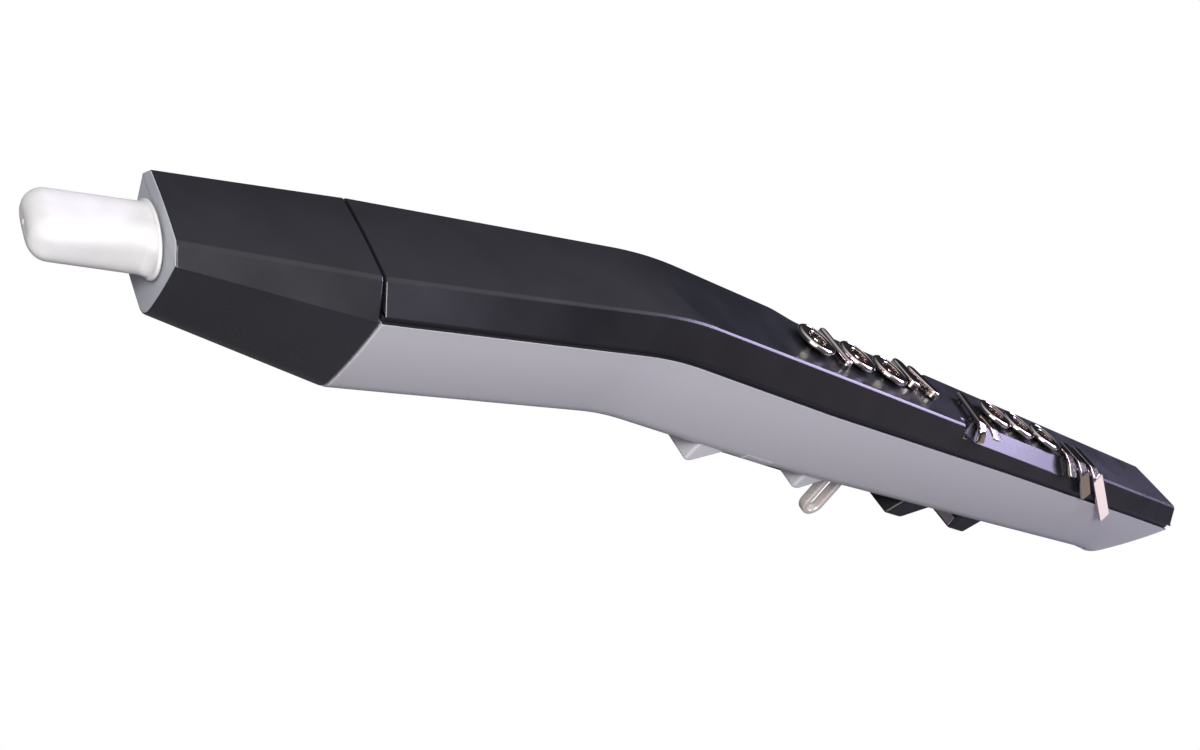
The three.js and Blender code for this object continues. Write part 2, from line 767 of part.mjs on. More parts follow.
function bendPlate(from, to) {
  const slope = to.clone().sub(from);
  const out = new THREE.Vector2(slope.y, -slope.x).normalize();
  if (out.y > 0) out.negate();
  const along = (share, lift) => from.clone().addScaledVector(slope, share).addScaledVector(out, lift);
  const inner = [along(bendLowShare, fitGap), along(bendHighShare, fitGap)];
  const outer = [along(bendHighShare, fitGap + bendThickness), along(bendLowShare, fitGap + bendThickness)];
  const corners = [...inner, ...outer];
  if (THREE.ShapeUtils.isClockWise(corners)) corners.reverse();
  const shape = new THREE.Shape(corners);
  const geometry = new THREE.ExtrudeGeometry(shape, { depth: bendReach * 2, bevelEnabled: false });
  return standingPlate(geometry, bendReach);
}

// Turns a plate drawn in (along, height) and extruded on Z so that it stands across X.
function standingPlate(geometry, reach) {
  geometry.translate(0, 0, -reach);
  geometry.rotateX(Math.PI / 2);
  geometry.rotateZ(Math.PI / 2);
  return solid(geometry);
}

// Strap ring: a flat eye that stands square to the back, with a foot plate inside the case.
const eyeAlong = 137;
const eyeWidth = 11.6;
const eyeThickness = 4.6;
const eyeBevel = 0.9;
const eyeHole = 3.1;
const eyeSlot = 5.5;
const eyeBottom = -74.4;
const eyeFoot = -48.4;
const eyePlateThickness = 2;
const eyePlateReach = 6;
const eyePlateRun = 8.6;
const eyeCurveSteps = 6;

function strapRing() {
  const radius = eyeWidth * half - eyeBevel;
  const centre = eyeBottom + eyeWidth * half;
  const top = eyeFoot + eyePlateThickness * half;
  const shape = new THREE.Shape();
  shape.moveTo(radius, top);
  shape.lineTo(-radius, top);
  shape.absarc(0, centre, radius, Math.PI, Math.PI * 2, false);
  const slot = new THREE.Path();
  slot.absarc(0, centre, eyeHole + eyeBevel, Math.PI, Math.PI * 2, false);
  slot.absarc(0, centre + eyeSlot, eyeHole + eyeBevel, 0, Math.PI, false);
  shape.holes.push(slot);
  const geometry = new THREE.ExtrudeGeometry(shape, {
    depth: eyeThickness - eyeBevel * 2,
    bevelThickness: eyeBevel,
    bevelSize: eyeBevel,
    bevelSegments: 1,
    curveSegments: eyeCurveSteps,
  });
  const eye = standingPlate(geometry, eyeThickness * half - eyeBevel).translate([0, eyeAlong, 0]);
  const footLow = [-eyePlateReach, eyeAlong - eyePlateRun, eyeFoot];
  const foot = block(footLow, [eyePlateReach, eyeAlong + eyePlateRun, eyeFoot + eyePlateThickness]);
  return joined([eye, foot]);
}

function strapSlot() {
  const reach = eyeThickness * half + fitGap;
  const run = eyeWidth * half + fitGap;
  return block([-reach, eyeAlong - run, -wide * 2], [reach, eyeAlong + run, eyeFoot]);
}

// USB socket on the main board, behind a window in the raked end wall.
const socketHalf = 3.85;
const socketHeight = 3.5;
const socketLength = 9;
const socketWall = 0.5;
const socketBlade = 0.5;
const socketSetback = 14;
const socketBase = mainBoard.top + fitGap;
const socketEnd = keyLength - socketSetback;

function usbSocket() {
  const start = socketEnd - socketLength;
  const top = socketBase + socketHeight;
  const can = block([-socketHalf, start, socketBase], [socketHalf, socketEnd, top]);
  const mouth = block(
    [socketWall - socketHalf, start + socketWall * 2, socketBase + socketWall],
    [socketHalf - socketWall, socketEnd + overrun, top - socketWall],
  );
  const middle = (socketBase + top) * half;
  const bladeReach = socketHalf * half;
  const blade = block(
    [-bladeReach, start + socketWall, middle - socketBlade * half],
    [bladeReach, socketEnd - socketWall, middle + socketBlade * half],
  );
  return joined([cut(can, [mouth]), blade]);
}

function socketWindow() {
  const low = [-socketHalf - fitGap, socketEnd - socketLength, socketBase - fitGap];
  const high = [socketHalf + fitGap, keyLength + overrun, socketBase + socketHeight + fitGap];
  return block(low, high);
}

// Screws that hold the head to the bulkhead of the lower case.
const headScrewX = 20.6;
const headScrewDrop = 20;
const headBossLength = 13;
const headScrewReach = 9;
const bulkheadHole = 9;
const headScrewSides = [1, -1];

// A rod square to the bulkhead, from a start measured behind the seam toward the far end.
function seamRod(radius, x, drop, start, length, sides) {
  return onBody(rod(radius, [x, start, -drop], length, "y", sides), 0, seamAlong);
}

function headScrew(side) {
  const seat = wall + fitGap;
  const body = screw(headScrewReach).rotate([90, 0, 0]).translate([headScrewX * side, seat, -headScrewDrop]);
  return onBody(body, 0, seamAlong);
}

// Lower case.
function lowerCase() {
  const shell = loftBody([...bodyStations, keyLength], lowerOutline, lowerPoint);
  const rimWall = loftBody([keyLength - recessDepth + fitGap, keyLength], rimPlug, lowerPoint);
  const endWall = loftBody([keyLength - wall, keyLength], lowerPlug, lowerPoint);
  const bulkhead = loftBody([seamAlong, seamAlong + wall], lowerPlug);
  const guards = [guardFront, guardRear];
  const parts = [shell, rimWall, endWall, bulkhead, ...guards.map(guardHump), ...lowerBosses()];
  const whole = joined([...parts, ...standoffs(mainBoard)]);
  const tubeHole = seamRod(bulkheadHole, 0, headScrewDrop, -overrun, overrun * 2 + wall, ringSides);
  const screwHoles = headScrewSides.map((side) => {
    return seamRod(screwRadius + screwGap, headScrewX * side, headScrewDrop, -overrun, overrun * 2, screwSides);
  });
  const holes = [tubeHole, ...screwHoles, ...lowerBossHoles(), ...standoffHoles(mainBoard)];
  return cut(whole, [rollerWindow(), strapSlot(), socketWindow(), ...holes]);
}

// Head shell: a wedge with a front wall that carries the mouthpiece stem.
const frontRound = 1;
const stemHole = 3.5;

function headShell() {
  const rear = seamAlong - seamGap;
  const outer = loft([
    { along: frontAlong, outline: fullOutline(frontGirth, frontRound) },
    { along: frontAlong + frontRound, outline: fullOutline(girthAt(frontAlong + frontRound), 0) },
    { along: rear, outline: fullOutline(girthAt(rear), 0) },
  ], bodyPoint);
  const inner = loftBody([frontAlong + wall, seamAlong + overrun], (girth) => fullOutline(girth, wall));
  const bosses = headScrewSides.map((side) => {
    const start = -headBossLength;
    return seamRod(bossRadius, headScrewX * side, headScrewDrop, start, headBossLength - seamGap);
  });
  const holes = headScrewSides.map((side) => {
    const start = -headScrewReach;
    return seamRod(screwRadius + screwGap, headScrewX * side, headScrewDrop, start, headScrewReach, screwSides);
  });
  const stemBore = onBody(rod(stemHole, [0, -overrun, -stemDrop], overrun * 2, "y", ringSides), 0, frontAlong);
  return cut(joined([outer.subtract(inner), ...bosses]), [stemBore, ...holes]);
}

// Mouthpiece, stem, nut and bite collar share the stem axis. Reach is measured from the head front.
const stemRadius = 3.2;
const stemBore = 1.4;
const stemReach = 24;
const stemTail = 17;
const nippleRadius = 2.3;
const nippleStart = 9;
const shoulderRadius = 4.6;
const shoulderReach = 1.7;
const nutRadius = 6.4;
const nutThickness = 3;
const collarStart = 7;
const collarEnd = 20;
const collarInner = 3.5;
const collarOuter = 4.9;
const cavityRadius = 5.25;
const cavityReach = 25;
const breathHole = 1.7;
const turnedSides = 16;

function onStem(body) {
  return onBody(body.rotate([90, 0, 0]).translate([0, 0, -stemDrop]), 0, frontAlong);
}

function mouthpieceStem() {
  return onStem(turned([
    [stemBore, -stemTail],
    [nippleRadius, -stemTail],
    [nippleRadius, -nippleStart],
    [stemRadius, -nippleStart],
    [stemRadius, fitGap],
    [shoulderRadius, fitGap],
    [shoulderRadius, shoulderReach],
    [stemRadius, shoulderReach],
    [stemRadius, stemReach],
    [stemBore, stemReach],
    [stemBore, -stemTail],
  ], turnedSides));
}

function stemNut() {
  const top = -wall - fitGap;
  const nut = rod(nutRadius, [0, 0, top - nutThickness], nutThickness, "z", 6);
  const hole = rod(stemRadius + fitGap, [0, 0, top - nutThickness - overrun], nutThickness + overrun * 2, "z", turnedSides);
  return onStem(nut.subtract(hole));
}

function biteSensor() {
  return onStem(turned([
    [collarInner, collarStart],
    [collarOuter, collarStart],
    [collarOuter, collarEnd],
    [collarInner, collarEnd],
    [collarInner, collarStart],
  ], turnedSides));
}

// The mouthpiece: a flange against the head, a flat body and a rounded tip.
const mouthpieceSteps = 32;
const mouthpiecePower = 3.2;
const flangePower = 2.3;
const flangeAcross = 16;
const flangeTall = 8.9;
const flangeStart = 0.6;
const flangeThickness = 1.4;
const flangeFillet = 1.2;
const bodyAcross = 12.2;
const bodyTall = 7.4;
const bodyTipTall = 6.4;
const tipLength = 5.8;
const tipShares = [0, 0.25, 0.5, 0.75, 1];
const tipAcrossShare = 0.42;
const tipTallShare = 0.84;

function mouthpieceRow(reach, across, tall, power) {
  const outline = Array.from({ length: mouthpieceSteps }, (_, step) => {
    const angle = (Math.PI * 2 * (step + half)) / mouthpieceSteps;
    const x = Math.sign(Math.cos(angle)) * Math.abs(Math.cos(angle)) ** (2 / power);
    const y = Math.sign(Math.sin(angle)) * Math.abs(Math.sin(angle)) ** (2 / power);
    return [across * x, tall * y];
  });
  return { along: -reach, outline };
}

function mouthpiece() {
  const flangeEnd = flangeStart + flangeThickness;
  const bodyStart = flangeEnd + flangeFillet;
  const rows = [
    mouthpieceRow(flangeStart, flangeAcross, flangeTall, flangePower),
    mouthpieceRow(flangeEnd, flangeAcross, flangeTall, flangePower),
    mouthpieceRow(bodyStart, bodyAcross, bodyTall, mouthpiecePower),
    ...tipShares.map((share) => {
      const turn = (share * Math.PI) / 2;
      const reach = mouthpieceReach - tipLength + tipLength * Math.sin(turn);
      const across = bodyAcross * (1 - tipAcrossShare * (1 - Math.cos(turn)));
      const tall = bodyTipTall * (1 - tipTallShare * (1 - Math.cos(turn)));
      return mouthpieceRow(reach, across, tall, mouthpiecePower);
    }),
  ];
  const skin = loft(rows.reverse(), (x, reach, height) => new THREE.Vector3(x, reach, height));
  const cavity = turned([
    [0, -overrun],
    [cavityRadius, -overrun],
    [cavityRadius, cavityReach],
    [breathHole, cavityReach],
    [breathHole, mouthpieceReach + overrun],
    [0, mouthpieceReach + overrun],
  ], turnedSides);
  const body = skin.subtract(cavity.rotate([90, 0, 0]));
  return onBody(body.translate([0, 0, -stemDrop]), 0, frontAlong);
}

// Breath sensor on its board, and the tube from the stem to it.
const sensorAlong = -78;
const sensorReach = 5;
const sensorTop = -8.2;
const nozzleLength = 7;
const tubeInner = 2.6;
const tubeOuter = 3.6;
const tubeSteps = 12;
const tubeSegments = 6;
const tubeFrontGap = 8;
const tubeBends = [
  { x: 0, along: -166, drop: 12.4 },
  { x: 3, along: -138, drop: 17 },
  { x: 2, along: -112, drop: 13.4 },
];

function breathSensor() {
  const low = [-sensorReach, -sensorReach, sensorBoard.top + fitGap];
  const box = block(low, [sensorReach, sensorReach, sensorTop]);
  const nozzle = rod(nippleRadius, [0, -sensorReach - nozzleLength, -stemDrop], nozzleLength + sensorReach, "y");
  const bore = rod(stemBore, [0, -sensorReach - nozzleLength - overrun, -stemDrop], nozzleLength + overrun, "y");
  return onBody(joined([box, nozzle]).subtract(bore), 0, sensorAlong);
}

function breathTube() {
  const start = frontAlong + nippleStart + fitGap;
  const end = sensorAlong - sensorReach - fitGap;
  const bends = tubeBends.map(({ x, along, drop }) => bodyPoint(x, along, -drop));
  const straight = (along) => bodyPoint(0, along, -stemDrop);
  const ends = [straight(start), straight(start + tubeFrontGap), straight(end - nozzleLength), straight(end)];
  const path = new THREE.CatmullRomCurve3([ends[0], ends[1], ...bends, ends[2], ends[3]]);
  const shape = new THREE.Shape();
  shape.absarc(0, 0, tubeOuter, 0, Math.PI * 2, false);
  const bore = new THREE.Path();
  bore.absarc(0, 0, tubeInner, 0, Math.PI * 2, true);
  shape.holes.push(bore);
  const options = { steps: tubeSteps, curveSegments: tubeSegments, extrudePath: path, bevelEnabled: false };
  return solid(new THREE.ExtrudeGeometry(shape, options));
}

// Assembly.
addPiece("mouthpiece", mouthpiece(), silicone);
addPiece("mouthpiece_stem", mouthpieceStem(), blackPlastic);
addPiece("stem_nut", stemNut(), steel);
addPiece("bite_sensor", biteSensor(), steel);
addPiece("head_shell", headShell(), blackCase);
addPiece("upper_case", upperCase(), blackCase);
addPiece("lower_case", lowerCase(), greyCase);
for (const { name, x, along } of ringPlaces) addPiece(name, onBody(ringKey(), x, along), chrome);
for (const bar of barKeys) addPiece(bar.name, barKey(bar), chrome);
for (const strap of strapKeys) addPiece(strap.name, strapKey(strap), chrome);
addPiece("roller_cradle", cradle(), blackPlastic);
rollerPlaces.forEach((along, index) => {
  addPiece(`octave_roller_${index + 1}`, roller(along), chrome);
  addPiece(`roller_axle_${index + 1}`, rollerAxle(along), steel);
});
addPiece("glide_plate", touchPlate(-1), chrome);
addPiece("left_thumb_ground_plate", touchPlate(1), chrome);
addPiece("thumb_rest_front", thumbBlock(thumbFront), blackPlastic);
addPiece("thumb_rest_rear", thumbBlock(thumbRear), blackPlastic);
const slopeEnd = (y, z) => new THREE.Vector2(y, z);
const frontSlope = [slopeEnd(thumbFront.end, humpTop), slopeEnd(thumbFront.crestEnd, thumbFront.crest)];
const rearSlope = [slopeEnd(thumbRear.start, humpTop), slopeEnd(thumbRear.crestStart, thumbRear.crest)];
addPiece("bend_plate_up", bendPlate(...frontSlope), chrome);
addPiece("bend_plate_down", bendPlate(...rearSlope), chrome);
addPiece("strap_ring", strapRing(), chrome);
addPiece("usb_socket", usbSocket(), steel);
addPiece("main_board", boardBody(mainBoard), boardGreen);
addPiece("key_board", boardBody(keyBoard), boardGreen);
addPiece("sensor_board", boardBody(sensorBoard), boardGreen);
addPiece("breath_sensor", breathSensor(), blackPlastic);
addPiece("breath_tube", breathTube(), clearTube);
caseScrews.forEach((place, index) => addPiece(`case_screw_${index + 1}`, caseScrew(place), steel));
headScrewSides.forEach((side, index) => addPiece(`head_screw_${index + 1}`, headScrew(side), steel));
for (const [prefix, board] of [["key_board", keyBoard], ["sensor_board", sensorBoard], ["main_board", mainBoard]]) {
  board.screws.forEach((place, index) => {
    addPiece(`${prefix}_screw_${index + 1}`, boardScrew(board, place), steel);
  });
}

// The middle of the whole instrument is the origin.
const centre = new THREE.Box3().setFromObject(instrument, true).getCenter(new THREE.Vector3());
for (const mesh of instrument.children) mesh.geometry.translate(...centre.clone().negate().toArray());

export default instrument;
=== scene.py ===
import json
import math

import bmesh
import bpy
from mathutils import Matrix, Vector


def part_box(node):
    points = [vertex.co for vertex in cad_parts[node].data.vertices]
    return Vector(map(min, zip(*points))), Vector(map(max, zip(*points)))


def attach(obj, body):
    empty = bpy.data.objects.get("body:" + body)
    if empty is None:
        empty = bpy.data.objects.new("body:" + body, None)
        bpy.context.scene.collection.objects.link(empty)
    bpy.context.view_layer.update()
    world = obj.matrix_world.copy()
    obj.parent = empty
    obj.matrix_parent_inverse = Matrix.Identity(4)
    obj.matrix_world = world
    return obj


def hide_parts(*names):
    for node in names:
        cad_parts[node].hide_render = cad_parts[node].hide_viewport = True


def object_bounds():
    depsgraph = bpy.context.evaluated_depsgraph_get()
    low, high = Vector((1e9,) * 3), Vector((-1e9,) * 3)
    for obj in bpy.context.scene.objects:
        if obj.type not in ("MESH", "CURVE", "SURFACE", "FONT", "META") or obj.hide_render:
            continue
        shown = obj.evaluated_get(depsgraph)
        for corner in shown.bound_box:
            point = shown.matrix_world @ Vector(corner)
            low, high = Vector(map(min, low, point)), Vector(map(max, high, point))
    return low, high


# A digital wind controller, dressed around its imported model. Sizes below are in millimetres.
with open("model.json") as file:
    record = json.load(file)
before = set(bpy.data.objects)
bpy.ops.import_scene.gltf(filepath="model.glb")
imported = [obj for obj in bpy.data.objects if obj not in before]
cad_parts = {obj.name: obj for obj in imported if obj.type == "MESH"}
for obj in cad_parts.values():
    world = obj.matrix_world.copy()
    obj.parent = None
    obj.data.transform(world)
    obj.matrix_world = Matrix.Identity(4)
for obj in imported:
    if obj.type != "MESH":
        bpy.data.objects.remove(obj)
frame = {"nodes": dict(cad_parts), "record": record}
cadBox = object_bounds()
mm = 0.001

# Camera, at the viewing angle of the photograph; the three directions are unit vectors
camera = {
    "place": (338.356, -420.639, 173.471),
    "right": (0.40336826, 0.70993266, 0.57731245),
    "down": (0.63393183, 0.23816484, -0.73580429),
    "forward": (-0.65986702, 0.66277683, -0.35398077),
    "lens": 42.5,
    "shiftX": -0.0042,
    "shiftY": 0.0027,
    "clipStart": 0.01,  # metres
}


def makeCamera(values):
    bpy.ops.object.camera_add()
    lens = bpy.context.object
    lens.name = "photoCamera"
    axes = (Vector(values["right"]), -Vector(values["down"]), -Vector(values["forward"]))
    turn = Matrix([list(row) for row in zip(*axes)])
    lens.matrix_world = Matrix.Translation(Vector(values["place"]) * mm) @ turn.to_4x4()
    lens.data.lens = values["lens"]
    lens.data.shift_x = values["shiftX"]
    lens.data.shift_y = values["shiftY"]
    lens.data.clip_start = values["clipStart"]
    bpy.context.scene.camera = lens


makeCamera(camera)
print("camera set")


# Helpers for colours and shader nodes
def linear(hexColour):
    parts = [int(hexColour[i:i + 2], 16) / 255 for i in (1, 3, 5)]
    return tuple(p / 12.92 if p <= 0.04045 else ((p + 0.055) / 1.055) ** 2.4 for p in parts) + (1.0,)


def newMaterial(name):
    made = bpy.data.materials.new(name)
    made.use_nodes = True
    return made


def addNode(made, kind, sockets=None):
    node = made.node_tree.nodes.new(kind)
    for key, value in (sockets or {}).items():
        if isinstance(value, bpy.types.NodeSocket):
            made.node_tree.links.new(value, node.inputs[key])
        else:
            node.inputs[key].default_value = value
    return node


def setShader(made, **values):
    shader = made.node_tree.nodes["Principled BSDF"]
    for key, value in values.items():
        socket = shader.inputs[key.replace("_", " ")]
        if isinstance(value, bpy.types.NodeSocket):
            made.node_tree.links.new(value, socket)
        else:
            socket.default_value = value
    return made


def objectPlace(made):
    return addNode(made, "ShaderNodeTexCoord").outputs["Object"]


def objectNoise(made, grain, detail=2.0):
    # grain is the size of one speck in millimetres
    sockets = {"Vector": objectPlace(made), "Scale": 1 / (grain * mm), "Detail": detail}
    return addNode(made, "ShaderNodeTexNoise", sockets).outputs["Fac"]


noiseSpan = (0.3, 0.7)  # nearly all of a noise lies between these


def ranged(made, value, low, high):
    return addNode(made, "ShaderNodeMapRange", {
        "Value": value, "From Min": noiseSpan[0], "From Max": noiseSpan[1], "To Min": low, "To Max": high,
    }).outputs["Result"]


def tinted(made, value, dark, light):
    ramp = addNode(made, "ShaderNodeValToRGB", {"Fac": value})
    for stop, position, colour in zip(ramp.color_ramp.elements, noiseSpan, (dark, light)):
        stop.position = position
        stop.color = linear(colour)
    return ramp.outputs["Color"]


def bumped(made, value, depth):
    # depth is the height of the grain in millimetres
    sockets = {"Height": value, "Distance": depth * mm, "Strength": 1.0}
    return addNode(made, "ShaderNodeBump", sockets).outputs["Normal"]


# Materials. Clouds, grains, flakes, waves and the depths of bumps are in millimetres.
mouldedAbs = {"cloud": 18.0, "cloudDetail": 3.0, "spread": 0.03, "ior": 1.53}


def makeMouldedAbs(name, dark, light, roughness, grain, depth):
    # injection moulded ABS from a lightly sparked tool: an even satin with a very fine grain
    made = newMaterial(name)
    specks = objectNoise(made, grain)
    cloud = objectNoise(made, mouldedAbs["cloud"], mouldedAbs["cloudDetail"])
    spread = mouldedAbs["spread"]
    return setShader(
        made, Base_Color=tinted(made, cloud, dark, light), IOR=mouldedAbs["ior"],
        Roughness=ranged(made, cloud, roughness - spread, roughness + spread),
        Normal=bumped(made, specks, depth),
    )


lacquer = {
    "dark": "#bfbec1", "light": "#c9c8cb", "metallic": 0.15, "ior": 1.5, "roughness": (0.38, 0.46),
    "flake": 0.22, "flakeDetail": 1.0, "depth": 0.003,  # real flakes are near 0.03, drawn coarser to show
}


def makeSilverLacquer():
    # silver metallic lacquer over moulded ABS: fine aluminium flakes under a satin clear coat
    made = newMaterial("silverMetallicLacquer")
    flakes = objectNoise(made, lacquer["flake"], lacquer["flakeDetail"])
    return setShader(
        made, Base_Color=tinted(made, flakes, lacquer["dark"], lacquer["light"]),
        Metallic=lacquer["metallic"], IOR=lacquer["ior"],
        Roughness=ranged(made, flakes, *lacquer["roughness"]), Normal=bumped(made, flakes, lacquer["depth"]),
    )


chrome = {"wipe": 1.2, "wave": 3.5, "waveDetail": 1.0, "depth": 0.001}


def makeChromePlate(name, colour, low, high, metallic=1.0):
    # decorative chrome over moulded ABS: a warm mirror with slight waviness and faint wiping marks
    made = newMaterial(name)
    waves = objectNoise(made, chrome["wave"], chrome["waveDetail"])
    return setShader(
        made, Base_Color=linear(colour), Metallic=metallic,
        Roughness=ranged(made, objectNoise(made, chrome["wipe"]), low, high),
        Normal=bumped(made, waves, chrome["depth"]),
    )


silicone = {
    "dark": "#bdbcbb", "light": "#c4c3c2", "ior": 1.41, "roughness": (0.6, 0.7), "cloud": 6.0,
    "grain": 0.35, "depth": 0.004,
    "sinks": 0.15, "sinkScale": 0.5, "sinkRadius": (0.004, 0.003, 0.002),  # metres
}


def makeSiliconeRubber():
    # white food grade silicone, moulded matt: light sinks in a little and edges stay soft
    s = silicone
    made = newMaterial("whiteSiliconeRubber")
    cloud = objectNoise(made, s["cloud"])
    return setShader(
        made, Base_Color=tinted(made, cloud, s["dark"], s["light"]), IOR=s["ior"],
        Subsurface_Weight=s["sinks"], Subsurface_Radius=s["sinkRadius"], Subsurface_Scale=s["sinkScale"],
        Roughness=ranged(made, cloud, *s["roughness"]),
        Normal=bumped(made, objectNoise(made, s["grain"]), s["depth"]),
    )


steel = {
    "colour": "#b4b2b0", "roughness": (0.24, 0.36), "depth": 0.003,
    "grains": 400.0, "grainDetail": 2.0, "drawn": (1.0, 12.0, 12.0),  # grains in a metre
}


def makeSteel():
    # nickel plated steel, turned and stamped: a grey metal with a fine drawn grain
    made = newMaterial("nickelPlatedSteel")
    sockets = {"Vector": objectPlace(made), "Scale": steel["drawn"]}
    drawn = addNode(made, "ShaderNodeMapping", sockets).outputs["Vector"]
    sockets = {"Vector": drawn, "Scale": steel["grains"], "Detail": steel["grainDetail"]}
    grain = addNode(made, "ShaderNodeTexNoise", sockets).outputs["Fac"]
    return setShader(
        made, Base_Color=linear(steel["colour"]), Metallic=1.0,
        Roughness=ranged(made, grain, *steel["roughness"]), Normal=bumped(made, grain, steel["depth"]),
    )


board = {
    "dark": "#194f33", "light": "#216442", "ior": 1.5, "roughness": (0.3, 0.4), "cloud": 4.0,
    "weaves": 350.0, "uneven": 0.4, "depth": 0.004,  # weaves is the scale of the wave pattern
}


def makeGlassFibreBoard():
    # glass fibre board under green solder mask: glossy, with the weave just showing
    made = newMaterial("glassFibreBoard")
    sockets = {"Vector": objectPlace(made), "Scale": board["weaves"], "Distortion": board["uneven"]}
    weave = addNode(made, "ShaderNodeTexWave", sockets).outputs["Fac"]
    return setShader(
        made, Base_Color=tinted(made, objectNoise(made, board["cloud"]), board["dark"], board["light"]),
        IOR=board["ior"], Roughness=ranged(made, weave, *board["roughness"]),
        Normal=bumped(made, weave, board["depth"]),
    )


tube = {
    "dark": "#d2cfc1", "light": "#dedbcf", "ior": 1.53, "roughness": (0.2, 0.32), "cloud": 3.0, "clear": 0.4,
}


def makePvcTube():
    # soft clear PVC tube: milky, smooth and slightly see-through
    made = newMaterial("softPvcTube")
    cloud = objectNoise(made, tube["cloud"])
    return setShader(
        made, Base_Color=tinted(made, cloud, tube["dark"], tube["light"]), IOR=tube["ior"],
        Transmission_Weight=tube["clear"], Roughness=ranged(made, cloud, *tube["roughness"]),
    )


caseAbs = makeMouldedAbs("satinBlackAbs", "#17171a", "#1b1b1e", 0.28, 0.3, 0.004)
keyFaceAbs = makeMouldedAbs("polishedBlackAbs", "#14161a", "#181a1f", 0.3, 0.5, 0.002)
thumbAbs = makeMouldedAbs("mattBlackAbs", "#131315", "#18181b", 0.42, 0.3, 0.008)
innerNylon = makeMouldedAbs("blackNylon", "#18181a", "#1e1e21", 0.52, 0.4, 0.008)
frontAbs = makeMouldedAbs("greyAbs", "#a0a3a8", "#a9acb1", 0.45, 0.3, 0.005)
silverLacquer = makeSilverLacquer()
chromePlate = makeChromePlate("chromePlate", "#efe3da", 0.06, 0.12)
warmChrome = makeChromePlate("satinChromePlate", "#f7eee6", 0.26, 0.34, 0.6)
whiteSilicone = makeSiliconeRubber()
nickelSteel = makeSteel()
fibreBoard = makeGlassFibreBoard()
pvcTube = makePvcTube()
print("materials made")


# The body line: a straight key section, a knee and a tilted neck. Same sizes as the solids.
bodyLine = {
    "keyLength": 360.4, "tilt": math.radians(11.5), "kneeRadius": 150, "neckLength": 116.7,
    "headLength": 61.5, "stemDrop": 12, "keyBoardTop": -5.8, "seamGap": 0.6,
}
keyLength = bodyLine["keyLength"]
kneeArc = bodyLine["kneeRadius"] * bodyLine["tilt"]
seamAlong = bodyLine["kneeRadius"] * math.tan(bodyLine["tilt"] / 2) - kneeArc - bodyLine["neckLength"]
frontAlong = seamAlong - bodyLine["headLength"]
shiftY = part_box("upper_case")[1][1] / mm - keyLength
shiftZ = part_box("key_board")[1][2] / mm - bodyLine["keyBoardTop"]


# A place on the body line, in metres, from millimetres across, along and above the key face
def bodyPoint(x, along, height):
    if along >= 0:
        return Vector((x, along + shiftY, height + shiftZ)) * mm
    turned = min(-along / bodyLine["kneeRadius"], bodyLine["tilt"])
    straight = min(along + kneeArc, 0)
    radius = bodyLine["kneeRadius"] + height
    y = straight * math.cos(bodyLine["tilt"]) - radius * math.sin(turned)
    z = straight * math.sin(bodyLine["tilt"]) + radius * math.cos(turned) - bodyLine["kneeRadius"]
    return Vector((x, y + shiftY, z + shiftZ)) * mm


# along, half of the top face, half of the lip line, lip drop, depth and half of the back
girths = [
    (frontAlong, 18.1, 23.5, 4.6, 30.6, 13),
    (seamAlong, 21.4, 29.7, 10.8, 50.7, 12.9),
    (-kneeArc, 20, 23.8, 14.9, 54.4, 8.6),
    (76, 18.4, 23, 15, 54.3, 10.1),
    (200, 17.3, 22.4, 12.5, 49, 11.4),
    (322, 16.2, 21.6, 11.2, 44, 12),
    (keyLength, 15.9, 21.2, 11.2, 44.3, 13.1),
]


def mix(low, high, share):
    return low + (high - low) * share


def smooth(value, low, high):
    share = min(max((value - low) / (high - low), 0), 1)
    return share * share * (3 - 2 * share)


def girthAt(along):
    for low, high in zip(girths, girths[1:]):
        if along <= high[0]:
            break
    share = min(max((along - low[0]) / (high[0] - low[0]), 0), 1)
    names = ("topHalf", "lipHalf", "lipDrop", "depth", "baseHalf")
    return {name: mix(low[i], high[i], share) for i, name in enumerate(names, 1)}


# Modelling helpers
def deselectAll():
    if bpy.context.object and bpy.context.object.mode != "OBJECT":
        bpy.ops.object.mode_set(mode="OBJECT")
    bpy.ops.object.select_all(action="DESELECT")


def pick(piece):
    deselectAll()
    piece.select_set(True)
    bpy.context.view_layer.objects.active = piece


def selectRing(piece, start, count):
    bpy.ops.mesh.select_all(action="DESELECT")
    cage = bmesh.from_edit_mesh(piece.data)
    cage.verts.ensure_lookup_table()
    for vertex in cage.verts[start:start + count]:
        vertex.select = True
    cage.select_flush(True)
    bmesh.update_edit_mesh(piece.data)


# A ring primitive set on the first outline, extruded from outline to outline, then capped
def loft(name, rings, loop=False):
    deselectAll()
    count = len(rings[0])
    bpy.ops.mesh.primitive_circle_add(vertices=count, radius=mm)
    piece = bpy.context.object
    piece.name = piece.data.name = name
    for vertex, place in zip(piece.data.vertices, rings[0]):
        vertex.co = place
    bpy.ops.object.mode_set(mode="EDIT")
    bpy.ops.mesh.select_mode(type="VERT")
    bpy.ops.mesh.select_all(action="SELECT")
    for ring in rings[1:]:
        bpy.ops.mesh.extrude_region_move()
        cage = bmesh.from_edit_mesh(piece.data)
        cage.verts.ensure_lookup_table()
        for vertex, place in zip(cage.verts[-count:], ring):
            vertex.co = place
    if loop:
        bpy.ops.mesh.select_all(action="DESELECT")
        bpy.ops.mesh.select_non_manifold()
        bpy.ops.mesh.bridge_edge_loops()
    else:
        for start in (0, (len(rings) - 1) * count):
            selectRing(piece, start, count)
            bpy.ops.mesh.edge_face_add()
    bpy.ops.mesh.select_all(action="SELECT")
    bpy.ops.mesh.normals_make_consistent(inside=False)
    bpy.ops.object.mode_set(mode="OBJECT")
    return piece


def applyModifier(piece, kind, **settings):
    pick(piece)
    modifier = piece.modifiers.new(kind.lower(), kind)
    for key, value in settings.items():
        setattr(modifier, key, value)
    bpy.ops.object.modifier_apply(modifier=modifier.name)


